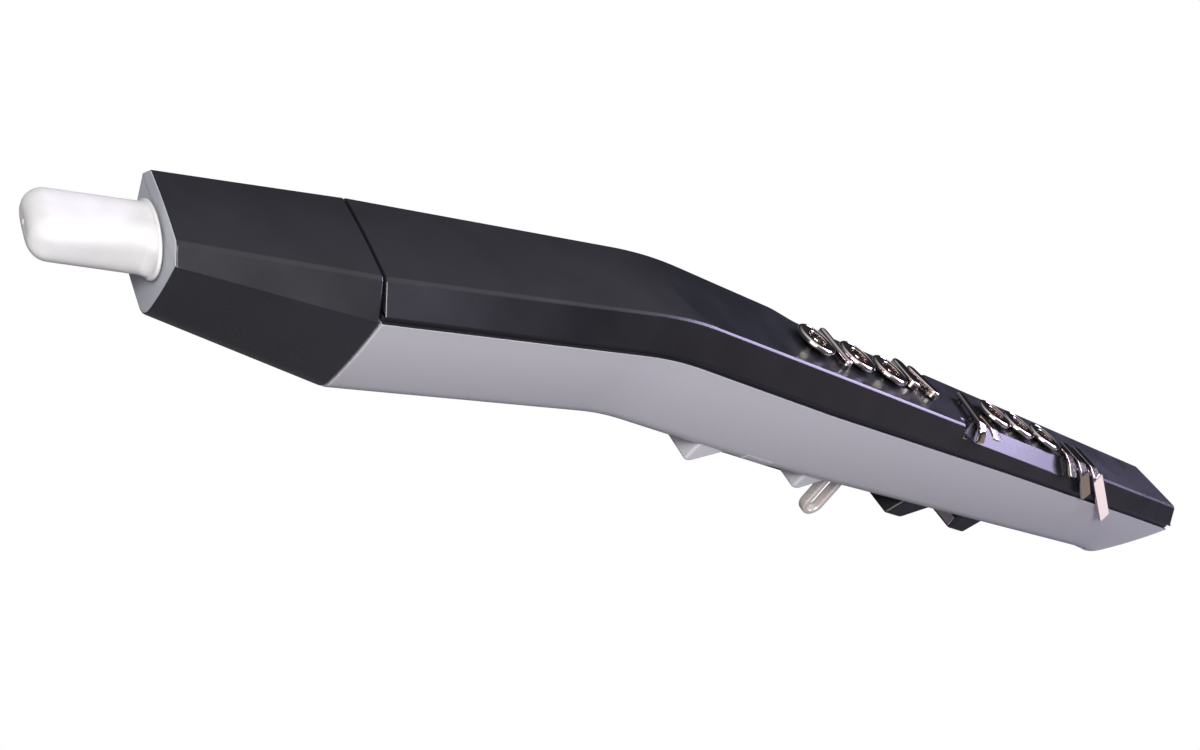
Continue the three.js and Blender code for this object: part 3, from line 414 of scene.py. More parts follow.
def combine(piece, others, operation):
    for other in others:
        applyModifier(piece, "BOOLEAN", object=other, operation=operation, solver="EXACT")
        bpy.data.objects.remove(other, do_unlink=True)


# The faces that pass a test get the second material, and the others keep the first
def twoMaterials(piece, first, second, passes):
    piece.data.materials.append(first)
    piece.data.materials.append(second)
    for face in piece.data.polygons:
        if passes(face):
            face.material_index = 1


# Smooths the faces that meet under an angle in degrees, then says what the piece is
def finishPiece(piece, material, body, replaced, angle=30):
    pick(piece)
    if not piece.data.materials:
        piece.data.materials.append(material)
    bpy.ops.object.shade_smooth_by_angle(angle=math.radians(angle))
    applyModifier(piece, "WEIGHTED_NORMAL", keep_sharp=True, weight=90)
    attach(piece, body)
    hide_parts(*replaced)


def copyPiece(piece, name, move):
    made = piece.copy()
    made.data = piece.data.copy()
    made.name = made.data.name = name
    bpy.context.collection.objects.link(made)
    made.data.transform(Matrix.Translation(move))
    return made


def plainName(node):
    return node.replace("_", "")


def circleSpots(radius, sides):
    turns = [2 * math.pi * i / sides for i in range(sides)]
    return [(radius * math.cos(turn), radius * math.sin(turn)) for turn in turns]


# Steps of a rounded edge, as (radius less its cosine, radius less its sine) for angles in degrees
def roundOver(radius, angles):
    turns = [math.radians(angle) for angle in angles]
    return [(radius * (1 - math.cos(turn)), radius * (1 - math.sin(turn))) for turn in turns]


# A round piece that stands on the key face, from rows of radius and height
def turnedPiece(name, profile, x, along, sides):
    rings = []
    for radius, height in profile:
        rings.append([bodyPoint(x + u, along + v, height) for u, v in circleSpots(radius, sides)])
    return loft(name, rings)


def roundRod(name, radius, x, along, low, high, sides=32):
    return turnedPiece(name, [(radius, low), (radius, high)], x, along, sides)


def boxPiece(name, low, high):
    corners = [(low[0], low[1]), (high[0], low[1]), (high[0], high[1]), (low[0], high[1])]
    return loft(name, [[bodyPoint(x, along, height) for x, along in corners] for height in (low[2], high[2])])


# A share of the way round a soft corner from start to end, drawn towards here
def bendAt(start, here, end, share):
    rest = 1 - share
    return start * rest ** 2 + here * 2 * share * rest + end * share * share


cornerShare = 0.46  # a rounded corner takes at most this share of the sides beside it


# Rounds the corners of an outline given as (x, height, radius)
def roundedOutline(corners, steps=5):
    points = []
    for index, (x, height, radius) in enumerate(corners):
        here = Vector((x, height))
        if not radius:
            points.append(tuple(here))
            continue
        before = Vector(corners[index - 1][:2])
        after = Vector(corners[(index + 1) % len(corners)][:2])
        inward, onward = before - here, after - here
        half = inward.angle(onward) / 2
        reach = min(radius / math.tan(half), inward.length * cornerShare, onward.length * cornerShare)
        start, end = here + inward.normalized() * reach, here + onward.normalized() * reach
        points += [tuple(bendAt(start, here, end, step / steps)) for step in range(steps + 1)]
    return points


def insetOutline(points, depth):
    if not depth:
        return points
    made = []
    for index, here in enumerate(points):
        before, after = Vector(points[index - 1]), Vector(points[(index + 1) % len(points)])
        run = (after - before).normalized()
        made.append((here[0] - run.y * depth, here[1] + run.x * depth))
    return made


# Side facets of the key face; ramps are the lengths of the slopes at their ends
facets = {
    1: {"start": 158.5, "end": 246, "inner": 12.1, "drop": 5.1, "ramps": (1.2, 1.2)},
    -1: {"start": 53, "end": 162, "inner": 14.1, "drop": 4.6, "ramps": (16, 5)},
}
rampSteps = 8
# The case: its black band stands over a recess, and its back has rounded corners and a raked end
caseForm = {
    "crown": 0.5, "crownSteps": 9, "edgeRound": 1.3, "edgeDrop": 0.55, "edgeInset": 0.5,
    "recessHeight": 2.6, "recessDepth": 1.4, "bandLeast": 2.4, "footGap": 0.04, "lipRound": 0.5,
    "rimRound": 0.3, "rimSteps": 3, "guard": 9, "sideBulge": 1.0, "sideSteps": 12,
    "backRound": 6, "roundSteps": 9, "headLip": 0.8, "endRound": 0.7, "endAngles": (0, 22.5, 45, 67.5, 90),
    "rakeRun": 38.4, "rakeShare": 0.89, "upperSteps": (10, 2), "lowerSteps": (8, 3), "headStep": 6,
}


# Outlines are seen from the mouthpiece and go round from the right over the top to the left
def facetCorners(side, girth, along, bandDrop):
    facet = facets[side]
    grown = smooth(along, facet["start"], facet["start"] + facet["ramps"][0])
    grown *= 1 - smooth(along, facet["end"] - facet["ramps"][1], facet["end"])
    edge = caseForm["edgeRound"]
    drop = mix(edge * caseForm["edgeDrop"], facet["drop"], grown)
    outer = mix(girth["topHalf"], girth["lipHalf"], drop / bandDrop)
    inner = mix(girth["topHalf"] - edge * caseForm["edgeInset"], facet["inner"], grown)
    return (outer * side, -drop, edge), (inner * side, 0, edge)


def archCorners(girth, along, bandDrop):
    lip = (girth["lipHalf"], -bandDrop, caseForm["lipRound"])
    outer, inner = facetCorners(1, girth, along, bandDrop)
    farOuter, farInner = facetCorners(-1, girth, along, bandDrop)
    return [lip, outer, inner], [farInner, farOuter, (-girth["lipHalf"], -bandDrop, caseForm["lipRound"])]


# Puts the shallow crown between the rounded top corners
def crowned(right, left):
    start, end = Vector(right[-1]), Vector(left[0])
    middle = []
    for step in range(1, caseForm["crownSteps"]):
        share = step / caseForm["crownSteps"]
        rise = caseForm["crown"] * (1 - (2 * share - 1) ** 2)
        middle.append((mix(start.x, end.x, share), mix(start.y, end.y, share) + rise))
    return right + middle + left


# An open run of corners, with a guard point below each end that is left out again
def roundedRun(corners, steps=5):
    guards = [(x, height - caseForm["guard"], 0) for x, height, radius in (corners[0], corners[-1])]
    return roundedOutline([guards[0], *corners, guards[1]], steps)[1:-1]


def archOutline(girth, along, bandDrop):
    right, left = archCorners(girth, along, bandDrop)
    return crowned(roundedRun(right + [(0, 0, 0)])[:-1], roundedRun([(0, 0, 0)] + left)[1:])


# The back, from the left lip down a nearly flat side, round a corner and over to the right lip
def backOutline(girth, startDrop):
    form = caseForm
    bottom, base = girth["depth"], girth["baseHalf"]
    right = []
    for step in range(form["sideSteps"] + 1):
        drop = mix(startDrop, bottom - form["backRound"], step / form["sideSteps"])
        share = (drop - girth["lipDrop"]) / (bottom - girth["lipDrop"])
        bulge = form["sideBulge"] * 4 * share * (1 - share)
        right.append((mix(girth["lipHalf"], base, share) + bulge, -drop))
    startX, startZ = right[-1]
    for step in range(1, form["roundSteps"] + 1):
        share = step / form["roundSteps"]
        x = bendAt(startX, base, base - form["backRound"], share)
        right.append((x, bendAt(startZ, -bottom, -bottom, share)))
    return [(-x, height) for x, height in right] + right[::-1]


def upperOutline(along):
    girth = girthAt(along)
    bandDrop = max(girth["lipDrop"] - caseForm["recessHeight"], caseForm["bandLeast"])
    arch = archOutline(girth, along, bandDrop)
    tongue = girth["lipHalf"] - caseForm["recessDepth"]
    foot = caseForm["footGap"] - girth["lipDrop"]
    return arch + [(-tongue, -bandDrop), (-tongue, foot), (tongue, foot), (tongue, -bandDrop)]


def lowerOutline(along):
    girth = girthAt(along)
    back = backOutline(girth, girth["lipDrop"])
    rim = [(side * girth["lipHalf"], -girth["lipDrop"], caseForm["rimRound"]) for side in (-1, 1)]
    return back[1:-1] + roundedRun(rim, caseForm["rimSteps"])[::-1]


def headOutline(along):
    girth = girthAt(along)
    arch = archOutline(girth, along, girth["lipDrop"])
    return arch + backOutline(girth, girth["lipDrop"] + caseForm["headLip"])[1:-1]


# Stations of a body between two ends, each end rounded over
def stations(outline, start, end, inner, place=bodyPoint):
    def ring(along, inset=0.0):
        return [place(x, along, height) for x, height in insetOutline(outline(along), inset)]

    steps = roundOver(caseForm["endRound"], caseForm["endAngles"])
    rings = [ring(start + reach, inset) for reach, inset in steps]
    rings += [ring(along) for along in inner]
    return rings + [ring(end - reach, inset) for reach, inset in steps[::-1]]


def spread(start, end, step):
    count = max(1, round((end - start) / step))
    return [start + (end - start) * i / count for i in range(1, count)]


def bodyAlongs(step, kneeStep, marks):
    runs = spread(seamAlong, -kneeArc, step) + spread(-kneeArc, 0, kneeStep) + spread(0, keyLength, step)
    return sorted(set(runs + marks + [-kneeArc, 0]))


def facetAlongs():
    marks = []
    for facet in facets.values():
        first, last = facet["ramps"]
        for step in range(rampSteps + 1):
            marks.append(facet["start"] + first * step / rampSteps)
            marks.append(facet["end"] - last + last * step / rampSteps)
    return marks


keyFace = {
    "trim": 0.02, "trimRound": 0.3, "trimSteps": 3, "kneeEnd": 24, "crease": math.radians(1),
    "near": 0.1, "facing": 0.9999,
    "hairline": 1e-6, "weld": 1e-7, "leastArea": 1e-4,  # metres and square metres
}


def makeUpperCase():
    alongs = bodyAlongs(*caseForm["upperSteps"], facetAlongs())
    piece = loft("upperCase", stations(upperOutline, seamAlong, keyLength, alongs))
    # the key face is a flat plane, trimmed across the knee
    plane = (shiftZ - keyFace["trim"]) * mm
    pick(piece)
    bpy.ops.object.mode_set(mode="EDIT")
    bpy.ops.mesh.select_all(action="SELECT")
    bpy.ops.mesh.bisect(
        plane_co=(0, 0, plane), plane_no=(0, 0, 1), use_fill=True, clear_outer=True,
        threshold=keyFace["weld"])
    bpy.ops.mesh.select_all(action="DESELECT")
    cage = bmesh.from_edit_mesh(piece.data)
    kneeEnd = bodyPoint(0, keyFace["kneeEnd"], 0).y
    for edge in cage.edges:
        high = all(abs(v.co.z - plane) < keyFace["hairline"] and v.co.y < kneeEnd for v in edge.verts)
        if high and edge.calc_face_angle(0) > keyFace["crease"]:
            edge.select = True
    bmesh.update_edit_mesh(piece.data)
    bpy.ops.mesh.bevel(offset=keyFace["trimRound"] * mm, segments=keyFace["trimSteps"], affect="EDGES")
    bpy.ops.object.mode_set(mode="OBJECT")

    def onKeyFace(face):
        high = face.center.z > (shiftZ - keyFace["near"]) * mm
        return high and face.normal.z > keyFace["facing"] and face.area > keyFace["leastArea"]

    twoMaterials(piece, caseAbs, keyFaceAbs, onKeyFace)
    finishPiece(piece, caseAbs, "instrument", ["upper_case"], 25)


# Blocks on the back, each with a steep front and a sloping rear; start, end and foot are inside the case
humps = {
    "guardFront": {"start": 41.2, "end": 66.5, "foot": 10.8,
                   "crestStart": 41.5, "crestEnd": 44.2, "reach": 9, "crest": -61.5},
    "guardRear": {"start": 106.6, "end": 128.2, "foot": 10.4,
                  "crestStart": 107.2, "crestEnd": 110.4, "reach": 8.6, "crest": -59.7},
    "thumbFront": {"start": 178.4, "end": 199.8, "foot": 10.4,
                   "crestStart": 172.2, "crestEnd": 184, "reach": 8.8, "crest": -58.3},
    "thumbRear": {"start": 221, "end": 239.6, "foot": 10,
                  "crestStart": 221.5, "crestEnd": 234, "reach": 8.6, "crest": -56.3},
}
humpForm = {"top": -44, "round": 1.1, "angles": (90, 67.5, 45, 22.5, 0), "rises": (0.3, 0.6, 1.0),
            "corner": 2.0, "crestCorner": 1.2, "crestLeast": 0.4, "steps": 5}


def humpRing(reach, start, end, height, corner):
    corners = [(-reach, start, corner), (reach, start, corner), (reach, end, corner), (-reach, end, corner)]
    return [bodyPoint(x, along, height) for x, along in roundedOutline(corners, humpForm["steps"])]


def makeHump(name, values):
    form = humpForm
    crest, top = values["crest"], form["top"]
    rows = [(inset, crest + rise) for inset, rise in roundOver(form["round"], form["angles"])]
    rows += [(0, mix(crest, top, share)) for share in form["rises"]]
    rings = []
    for inset, height in rows:
        share = (crest - height) / (crest - top)
        reach = mix(values["reach"], values["foot"], share) - inset
        start = mix(values["crestStart"], values["start"], share) + inset
        end = max(mix(values["crestEnd"], values["end"], share) - inset, start + form["crestLeast"])
        rings.append(humpRing(reach, start, end, height, mix(form["crestCorner"], form["corner"], share)))
    return loft(name, rings)


# Openings of the back, each from a low to a high corner; the first two are cut from well below it
backOpenings = {
    "rollerWindow": ((-7.4, 55.7, -90), (7.4, 92.9, -48.9)),
    "eyeSlot": ((-2.6, 130.9, -90), (2.6, 143.1, -48.4)),
    "socketWindow": ((-4.15, 337, -25.4), (4.15, 366, -21.3)),
}
caseScrews = [(8.4, -105), (-8.4, -105), (6, 4), (-6, 4), (11.5, 326), (-11.5, 326)]
screwWell = {"radius": 1.87, "foot": 11, "head": 6.8}
paintedShadeRise = 0.6  # faces whose normals rise more than this are painted black instead of lacquer, as painted shade under the overhanging black band


def backHeight(x, along):
    # follows the outline of the section down its right side
    girth = girthAt(along)
    outline = backOutline(girth, girth["lipDrop"])
    right = outline[len(outline) // 2:][::-1]
    for (highX, high), (lowX, low) in zip(right, right[1:]):
        if lowX <= abs(x):
            return mix(high, low, (highX - abs(x)) / (highX - lowX))
    return -girth["depth"]


def backCutters():
    cutters = [boxPiece(name, low, high) for name, (low, high) in backOpenings.items()]
    for x, along in caseScrews:
        seat = backHeight(x, along)
        low, high = seat - screwWell["foot"], seat + screwWell["head"]
        cutters.append(roundRod("screwWell", screwWell["radius"], x, along, low, high))
    return cutters


def rakedPoint(x, along, height):
    lean = min(max((along - keyLength + caseForm["rakeRun"]) / caseForm["rakeRun"], 0), 1)
    lipDrop = girthAt(along)["lipDrop"]
    return bodyPoint(x, along + min(height + lipDrop, 0) * lean * caseForm["rakeShare"], height)


def makeLowerCase():
    alongs = bodyAlongs(*caseForm["lowerSteps"], [keyLength - caseForm["rakeRun"]])
    piece = loft("lowerCase", stations(lowerOutline, seamAlong, keyLength, alongs, rakedPoint))
    combine(piece, [makeHump(name, humps[name]) for name in ("guardFront", "guardRear")], "UNION")
    combine(piece, backCutters(), "DIFFERENCE")
    # painted shade: the upward faces at the lip, where the two cases meet, are painted black for the shade
    # under the overhanging upper case
    twoMaterials(piece, silverLacquer, innerNylon, lambda face: face.normal.z > paintedShadeRise)
    finishPiece(piece, silverLacquer, "instrument", ["lower_case"], 25)


headForm = {"frontReach": 4, "frontHeight": -10, "facing": -0.9, "bore": 3.5, "boreRun": 6, "boreSides": 32}


def makeHeadShell():
    form = headForm
    inner = spread(frontAlong, seamAlong, caseForm["headStep"])
    rear = seamAlong - bodyLine["seamGap"]
    piece = loft("headShell", stations(headOutline, frontAlong, rear, inner))
    front = bodyPoint(0, frontAlong + form["frontReach"], form["frontHeight"]).y

    def onFront(face):
        return face.normal.y < form["facing"] and face.center.y < front

    twoMaterials(piece, caseAbs, frontAbs, onFront)
    rings = []
    for along in (frontAlong - form["boreRun"], frontAlong + form["boreRun"]):
        spots = circleSpots(form["bore"], form["boreSides"])
        rings.append([bodyPoint(u, along, v - bodyLine["stemDrop"]) for u, v in spots])
    combine(piece, [loft("stemBore", rings)], "DIFFERENCE")
    finishPiece(piece, caseAbs, "instrument", ["head_shell"], 25)


# Thin plates beside the rollers, let into the curve of the back, in the silver of the case
touchPlate = {"start": 66, "end": 81, "inner": 10, "outer": 12.4, "lift": 0.06, "thickness": 0.3, "steps": 6}


def makeTouchPlate(side, node):
    t = touchPlate
    spots = [mix(t["outer"], t["inner"], step / t["steps"]) for step in range(t["steps"] + 1)]
    rings = []
    for along in (t["start"], mix(t["start"], t["end"], 0.5), t["end"]):
        skin = [(x * side, backHeight(x, along) - t["lift"] - t["thickness"]) for x in spots]
        inside = [(x * side, backHeight(x, along) + t["thickness"]) for x in spots[::-1]]
        rings.append([bodyPoint(x, along, height) for x, height in skin + inside])
    finishPiece(loft(plainName(node), rings), silverLacquer, "instrument", [node])


# A tray behind the rollers, with one trough for all five that opens downwards
cradle = {"low": (-8.6, 55.3, -53.3), "high": (8.6, 93.3, -47)}
trough = {"low": (-6.4, 58.1, -59.3), "high": (6.4, 90.5, -48.7)}


def makeCradle():
    piece = boxPiece("rollerCradle", cradle["low"], cradle["high"])
    combine(piece, [boxPiece("rollerTrough", trough["low"], trough["high"])], "DIFFERENCE")
    finishPiece(piece, innerNylon, "instrument", ["roller_cradle"])


makeUpperCase()
makeLowerCase()
makeHeadShell()
for hump, node in (("thumbFront", "thumb_rest_front"), ("thumbRear", "thumb_rest_rear")):
    block = makeHump(hump + "Rest", humps[hump])
    finishPiece(block, thumbAbs, "instrument", [node], 25)
for side, node in ((-1, "glide_plate"), (1, "left_thumb_ground_plate")):
    makeTouchPlate(side, node)
makeCradle()
print("case made")


# Round touch keys: a thick flat washer with a rounded rim and a plain hole, on a black stub
ringKey = {
    "radius": 8.9, "rim": 1.15, "rimSteps": 12, "lift": 1.7, "top": 4.0, "stub": 3.4, "hole": 4.4,
    "floor": 1.1, "step": 0.12, "sides": 64, "blackTop": 1.3, "blackInset": 0.1,
    "stepEdge": ((0.3, 0.12), (0.4, 0.02), (0.5, 0)),  # in from the rim, above the face
    "holeEdge": ((0.5, 0), (0.2, 0.07), (0.05, 0.22), (0, 0.45)),  # out from the hole, below the face
    "floorEdge": ((0, 0.3), (0.1, 0.06), (0.35, 0)),  # in from the hole, above its floor
}
ringPlaces = {
    "lh_ring_key_1": (1.2, 65.6), "lh_ring_key_2": (0.9, 92.4), "lh_ring_key_3": (1.1, 114.6),
    "rh_ring_key_1": (0.9, 195.8), "rh_ring_key_2": (1.8, 215.4), "rh_ring_key_3": (3.4, 236.4),
}
postFoot = -0.5  # posts and stubs reach this far into the key face
postClear = 0.02  # faces of a post lie more than this under the key


def ringProfile(k):
    middle, centre = k["radius"] - k["rim"], k["top"] - k["rim"]
    face = k["top"] - k["step"]
    rows = [(k["stub"], postFoot), (k["stub"], k["lift"])]
    for step in range(k["rimSteps"] + 1):
        turn = math.radians(180 * step / k["rimSteps"] - 90)
        rows.append((middle + k["rim"] * math.cos(turn), centre + k["rim"] * math.sin(turn)))
    rows += [(middle - inset, face + rise) for inset, rise in k["stepEdge"]]
    rows += [(k["hole"] + out, face - drop) for out, drop in k["holeEdge"]]
    return rows + [(k["hole"] - inset, k["floor"] + rise) for inset, rise in k["floorEdge"]]


# Faces near a post and under the key are black plastic, the rest is chrome
def blackPosts(piece, underside, posts, reach):
    ceiling = (shiftZ + underside - postClear) * mm
    spots = [(x * mm, (along + shiftY) * mm) for x, along in posts]

    def onPost(face):
        near = any(math.dist(face.center.xy, spot) < reach * mm for spot in spots)
        return near and face.center.z < ceiling

    twoMaterials(piece, chromePlate, innerNylon, onPost)


firstRing = turnedPiece("ringKey", ringProfile(ringKey), 0, 0, ringKey["sides"])
blackPosts(firstRing, ringKey["blackTop"], [(0, 0)], ringKey["hole"] - ringKey["blackInset"])
for node, (x, along) in ringPlaces.items():
    made = copyPiece(firstRing, plainName(node), Vector((x, along, 0)) * mm)
    finishPiece(made, chromePlate, "instrument", [node])
bpy.data.objects.remove(firstRing, do_unlink=True)
print("ring keys made")


# Bar keys: round ended bars on posts; the bis bar is a slim rod, the two little keys are thick pads
barKeys = {
    "lh_bis_key": {"x": 0, "along": 78.9, "length": 23, "width": 3.8, "turn": 0,
                   "lift": 1.1, "top": 3.98, "round": 1.35, "posts": (-7, 9.5), "postRadius": 1.7},
    "lh_little_key_1": {"x": -3, "along": 130.2, "length": 18, "width": 7.2, "turn": 0,
                        "lift": 0.6, "top": 3.98, "round": 0.8, "posts": (-5, 5), "postRadius": 1.8},
    "lh_little_key_2": {"x": -1.6, "along": 141.2, "length": 18.6, "width": 5.6, "turn": 20,
                        "lift": 0.6, "top": 3.98, "round": 0.8, "posts": (-5, 5), "postRadius": 1.8},
}
barForm = {"underEdge": ((0.5, 0), (0.14, 0.14), (0, 0.5)), "angles": (0, 15, 30, 45, 60, 75, 90),
           "endSteps": 12, "postOverlap": 0.7, "postSlack": 0.1}


def barSpot(values, x, y):
    # a spot of the bar, turned and moved with it
    turn = math.radians(values["turn"])
    return (values["x"] + x * math.cos(turn) - y * math.sin(turn),
            values["along"] + x * math.sin(turn) + y * math.cos(turn))


def barRing(values, inset, height):
    radius = values["width"] / 2
    straight = values["length"] / 2 - radius
    ring = []
    for side, start in ((1, -90), (-1, 90)):
        for step in range(barForm["endSteps"] + 1):
            angle = math.radians(start + 180 * step / barForm["endSteps"])
            x = straight * side + (radius - inset) * math.cos(angle)
            ring.append(bodyPoint(*barSpot(values, x, (radius - inset) * math.sin(angle)), height))
    return ring


def makeBarKey(node, values):
    lift, top, radius = values["lift"], values["top"], values["postRadius"]
    rows = [(inset, lift + rise) for inset, rise in barForm["underEdge"]]
    rows += [(inset, top - drop) for inset, drop in roundOver(values["round"], barForm["angles"])]
    piece = loft(plainName(node), [barRing(values, inset, height) for inset, height in rows])
    spots = [barSpot(values, reach, 0) for reach in values["posts"]]
    high = lift + barForm["postOverlap"]
    combine(piece, [roundRod("barPost", radius, *spot, postFoot, high) for spot in spots], "UNION")
    blackPosts(piece, lift, spots, radius + barForm["postSlack"])
    finishPiece(piece, chromePlate, "instrument", [node], 40)


for node, values in barKeys.items():
    makeBarKey(node, values)
print("bar keys made")


# Strap keys: flat strips over the key face that bend down the side. A point of a path with a third
# number gives its own height, and the others lie at the lift.
strapForm = {
    "thickness": 1.3, "lift": 3.6, "edge": 0.3, "edgeSteps": 3, "bendRadius": 1.2, "bendSteps": 6,
    "bendShare": 0.45, "corner": 0.9, "endAngles": (4, 15, 30, 45, 60, 75),
    "postRadius": 1.4, "postSlack": 0.1,
}
strapKeys = {
    "rh_side_key_1": {"width": 4.6, "thickness": 1.9, "edge": 0.7, "posts": [(-2, 173.2), (10, 169.7)],
                      "path": [(-5, 174), (17.4, 167.6), (20.6, 167.6, 1.6), (23, 168.6, -3.2)]},
    "rh_side_key_2": {"width": 5.6, "posts": [(12, 176)],
                      "path": [(9.5, 176), (18, 175.8), (23.4, 176.2, 1.7)]},
    "rh_little_key_1": {"width": 6, "posts": [(12, 247.2)],
                        "path": [(9.6, 247.4), (13.2, 247.2), (17.8, 247, 2), (22.8, 247.6, -2)]},
    "rh_little_key_2": {"width": 6.6, "posts": [(4, 256.6), (12, 255.8)],
                        "path": [(1.8, 256.8), (16.2, 255.4), (20.2, 256.6, 1.2), (25, 265.5, -8)]},
    "rh_little_key_3": {"width": 6.6, "posts": [(4, 268.2), (12, 267.7)],
                        "path": [(1.6, 268.4), (16, 267.4), (20.2, 269.4, 1.2), (25.4, 293, -14.9)]},
}


def softPath(points, form):
    places = [Vector(point) for point in points]
    steps = form["bendSteps"]
    made = [places[0]]
    for before, here, after in zip(places, places[1:], places[2:]):
        inward, onward = before - here, after - here
        reach = min(form["bendRadius"], inward.length * form["bendShare"], onward.length * form["bendShare"])
        start, end = here + inward.normalized() * reach, here + onward.normalized() * reach
        made += [bendAt(start, here, end, step / steps) for step in range(steps + 1)]
    return made + [places[-1]]


# Rows of place and half width along a strip, whose ends are rounded over by narrowing it
def stripRows(places, form):
    radius, half = form["corner"], form["width"] / 2
    first, last = (places[1] - places[0]).normalized(), (places[-2] - places[-1]).normalized()
    ends = [(reach, half - narrowed) for narrowed, reach in roundOver(radius, form["endAngles"])]
    rows = [(places[0] + first * reach, width) for reach, width in ends[::-1]]
    for place in places[1:-1]:
        if (place - places[0]).length > radius and (place - places[-1]).length > radius:
            rows.append((place, half))
    return rows + [(places[-1] + last * reach, width) for reach, width in ends]


def stripRings(rows, form):
    thickness, edge = form["thickness"], form["edge"]
    rings = []
    for index, (place, half) in enumerate(rows):
        before, after = rows[max(index - 1, 0)][0], rows[min(index + 1, len(rows) - 1)][0]
        run = (after - before).normalized()
        up = Vector((-run.z, 0, run.x)).normalized()
        across = up.cross(run)
        corners = [(-half, -thickness, edge), (half, -thickness, edge), (half, 0, edge), (-half, 0, edge)]
        section = roundedOutline(corners, form["edgeSteps"])
        rings.append([(place + across * -x + up * depth) * mm for x, depth in section])
    return rings


def makeStrapKey(node, values):
    form = {**strapForm, **values}
    points = []
    for x, along, *rest in form["path"]:
        height = rest[0] if rest else form["lift"]
        points.append((x, along + shiftY, height + shiftZ))
    piece = loft(plainName(node), stripRings(stripRows(softPath(points, form), form), form))
    high = form["lift"] - form["thickness"] / 2
    posts = [roundRod("strapPost", form["postRadius"], *spot, postFoot, high) for spot in form["posts"]]
    combine(piece, posts, "UNION")
    underside = form["lift"] - form["thickness"]
    blackPosts(piece, underside, form["posts"], form["postRadius"] + form["postSlack"])
    finishPiece(piece, chromePlate, "instrument", [node])


for node, values in strapKeys.items():
    makeStrapKey(node, values)
print("strap keys made")


# Octave rollers with rounded ends, each on its own axle
roller = {"count": 5, "radius": 3, "length": 12, "pitch": 6.4, "along": 74.3, "height": -52,
          "edge": 0.8, "edgeAngles": (30, 60, 90), "bore": 1.35, "sides": 48}


def makeRoller(number):
    r = roller
    middle = r["along"] + (number - (r["count"] + 1) / 2) * r["pitch"]
    reach = r["length"] / 2
    profile = [(r["bore"], -reach), (r["radius"] - r["edge"], -reach)]
    profile += [(r["radius"] - drop, run - reach) for run, drop in roundOver(r["edge"], r["edgeAngles"])]
    profile += [(radius, -x) for radius, x in profile[::-1]]
    rings = []
    for radius, x in profile:
        spots = circleSpots(radius, r["sides"])
        rings.append([bodyPoint(x, middle + u, r["height"] + v) for u, v in spots])
    piece = loft("octaveRoller%d" % number, rings, loop=True)
    finishPiece(piece, chromePlate, "roller_%d" % number, ["octave_roller_%d" % number], 35)


for number in range(1, roller["count"] + 1):
    makeRoller(number)
print("rollers made")


# Strap eye: a thick flat bar bent into a U that stands square to the back
strapEye = {"along": 137, "bend": 4.45, "barWidth": 2.7, "thickness": 4.6, "round": 1.15, "roundSteps": 6,
            "bottom": -74.4, "top": -48.6, "steps": 24}


def makeStrapEye():
    e = strapEye
    half, reach, edge = e["thickness"] / 2, e["barWidth"] / 2, e["round"]
    low = e["bottom"] + e["bend"] + reach
    corners = [(-half, -reach, edge), (half, -reach, edge), (half, reach, edge), (-half, reach, edge)]
    section = [(x, e["bend"] + out) for x, out in roundedOutline(corners, e["roundSteps"])]
    path = [(180, e["top"]), (180, mix(e["top"], low, 0.5))]
    path += [(180 + 180 * step / e["steps"], low) for step in range(e["steps"] + 1)]
    path += [(360, mix(e["top"], low, 0.5)), (360, e["top"])]
    rings = []
    for angle, height in path:
        c, s = math.cos(math.radians(angle)), math.sin(math.radians(angle))
        rings.append([bodyPoint(x, e["along"] + out * c, height + out * s) for x, out in section])
    finishPiece(loft("strapEye", rings), warmChrome, "instrument", ["strap_ring"], 40)


makeStrapEye()
print("strap eye made")


# Mouthpiece: a thin flange that curls out of a wide flat body with a rounded tip. A power of 2 makes
# an ellipse of a section, and more makes it squarer.
mouthpiece = {
    "reach": 34.2, "sides": 72, "power": 3.4,
    "flangeStart": 0.6, "flangeLip": 1.2, "flangeAcross": 15.9, "flangeTall": 8.85, "flangePower": 2.05,
    "flangeInset": 0.3, "curlRun": 2.6, "curlPower": 1.4, "curlInset": 0.8,
    "curl": (0.15, 0.35, 0.6, 0.85, 1.0),  # shares of the way round the curl
    "rootAcross": 10.8, "rootTall": 8, "across": 12.2, "tall": 6.6,
    "tipLength": 5.8, "tipAcross": 5.15, "tipTall": 5.4, "tipAngles": (12, 24, 36, 48, 60, 70, 79, 85, 90),
    "cavity": 5.2, "cavityReach": 25, "cavityEnd": 0.2, "cavitySides": 40, "bore": 1.0, "overrun": 4,
}


def superRing(reach, across, tall, power, sides):
    ring = []
    for i in range(sides):
        turn = 2 * math.pi * (i + 0.5) / sides
        c, s = math.cos(turn), math.sin(turn)
        x = across * math.copysign(abs(c) ** (2 / power), c)
        z = tall * math.copysign(abs(s) ** (2 / power), s)
        ring.append(bodyPoint(x, frontAlong - reach, z - bodyLine["stemDrop"]))
    return ring


def flangeRows(m):
    start, lip, power = m["flangeStart"], m["flangeLip"], m["flangePower"]
    across, tall = m["flangeAcross"], m["flangeTall"]
    rows = [(start, across - m["flangeInset"], tall - m["flangeInset"], power)]
    for run, inset in roundOver(lip / 2, range(0, 181, 30)):
        rows.append((start + run, across - inset, tall - inset, power))
    inset = lip * m["curlInset"]
    for share in m["curl"]:
        curl = math.sin(math.pi / 2 * share)
        reach = start + lip + m["curlRun"] * share ** m["curlPower"]
        section = mix(across - inset, m["rootAcross"], curl), mix(tall - inset, m["rootTall"], curl)
        rows.append((reach, *section, mix(power, m["power"], curl)))
    return rows


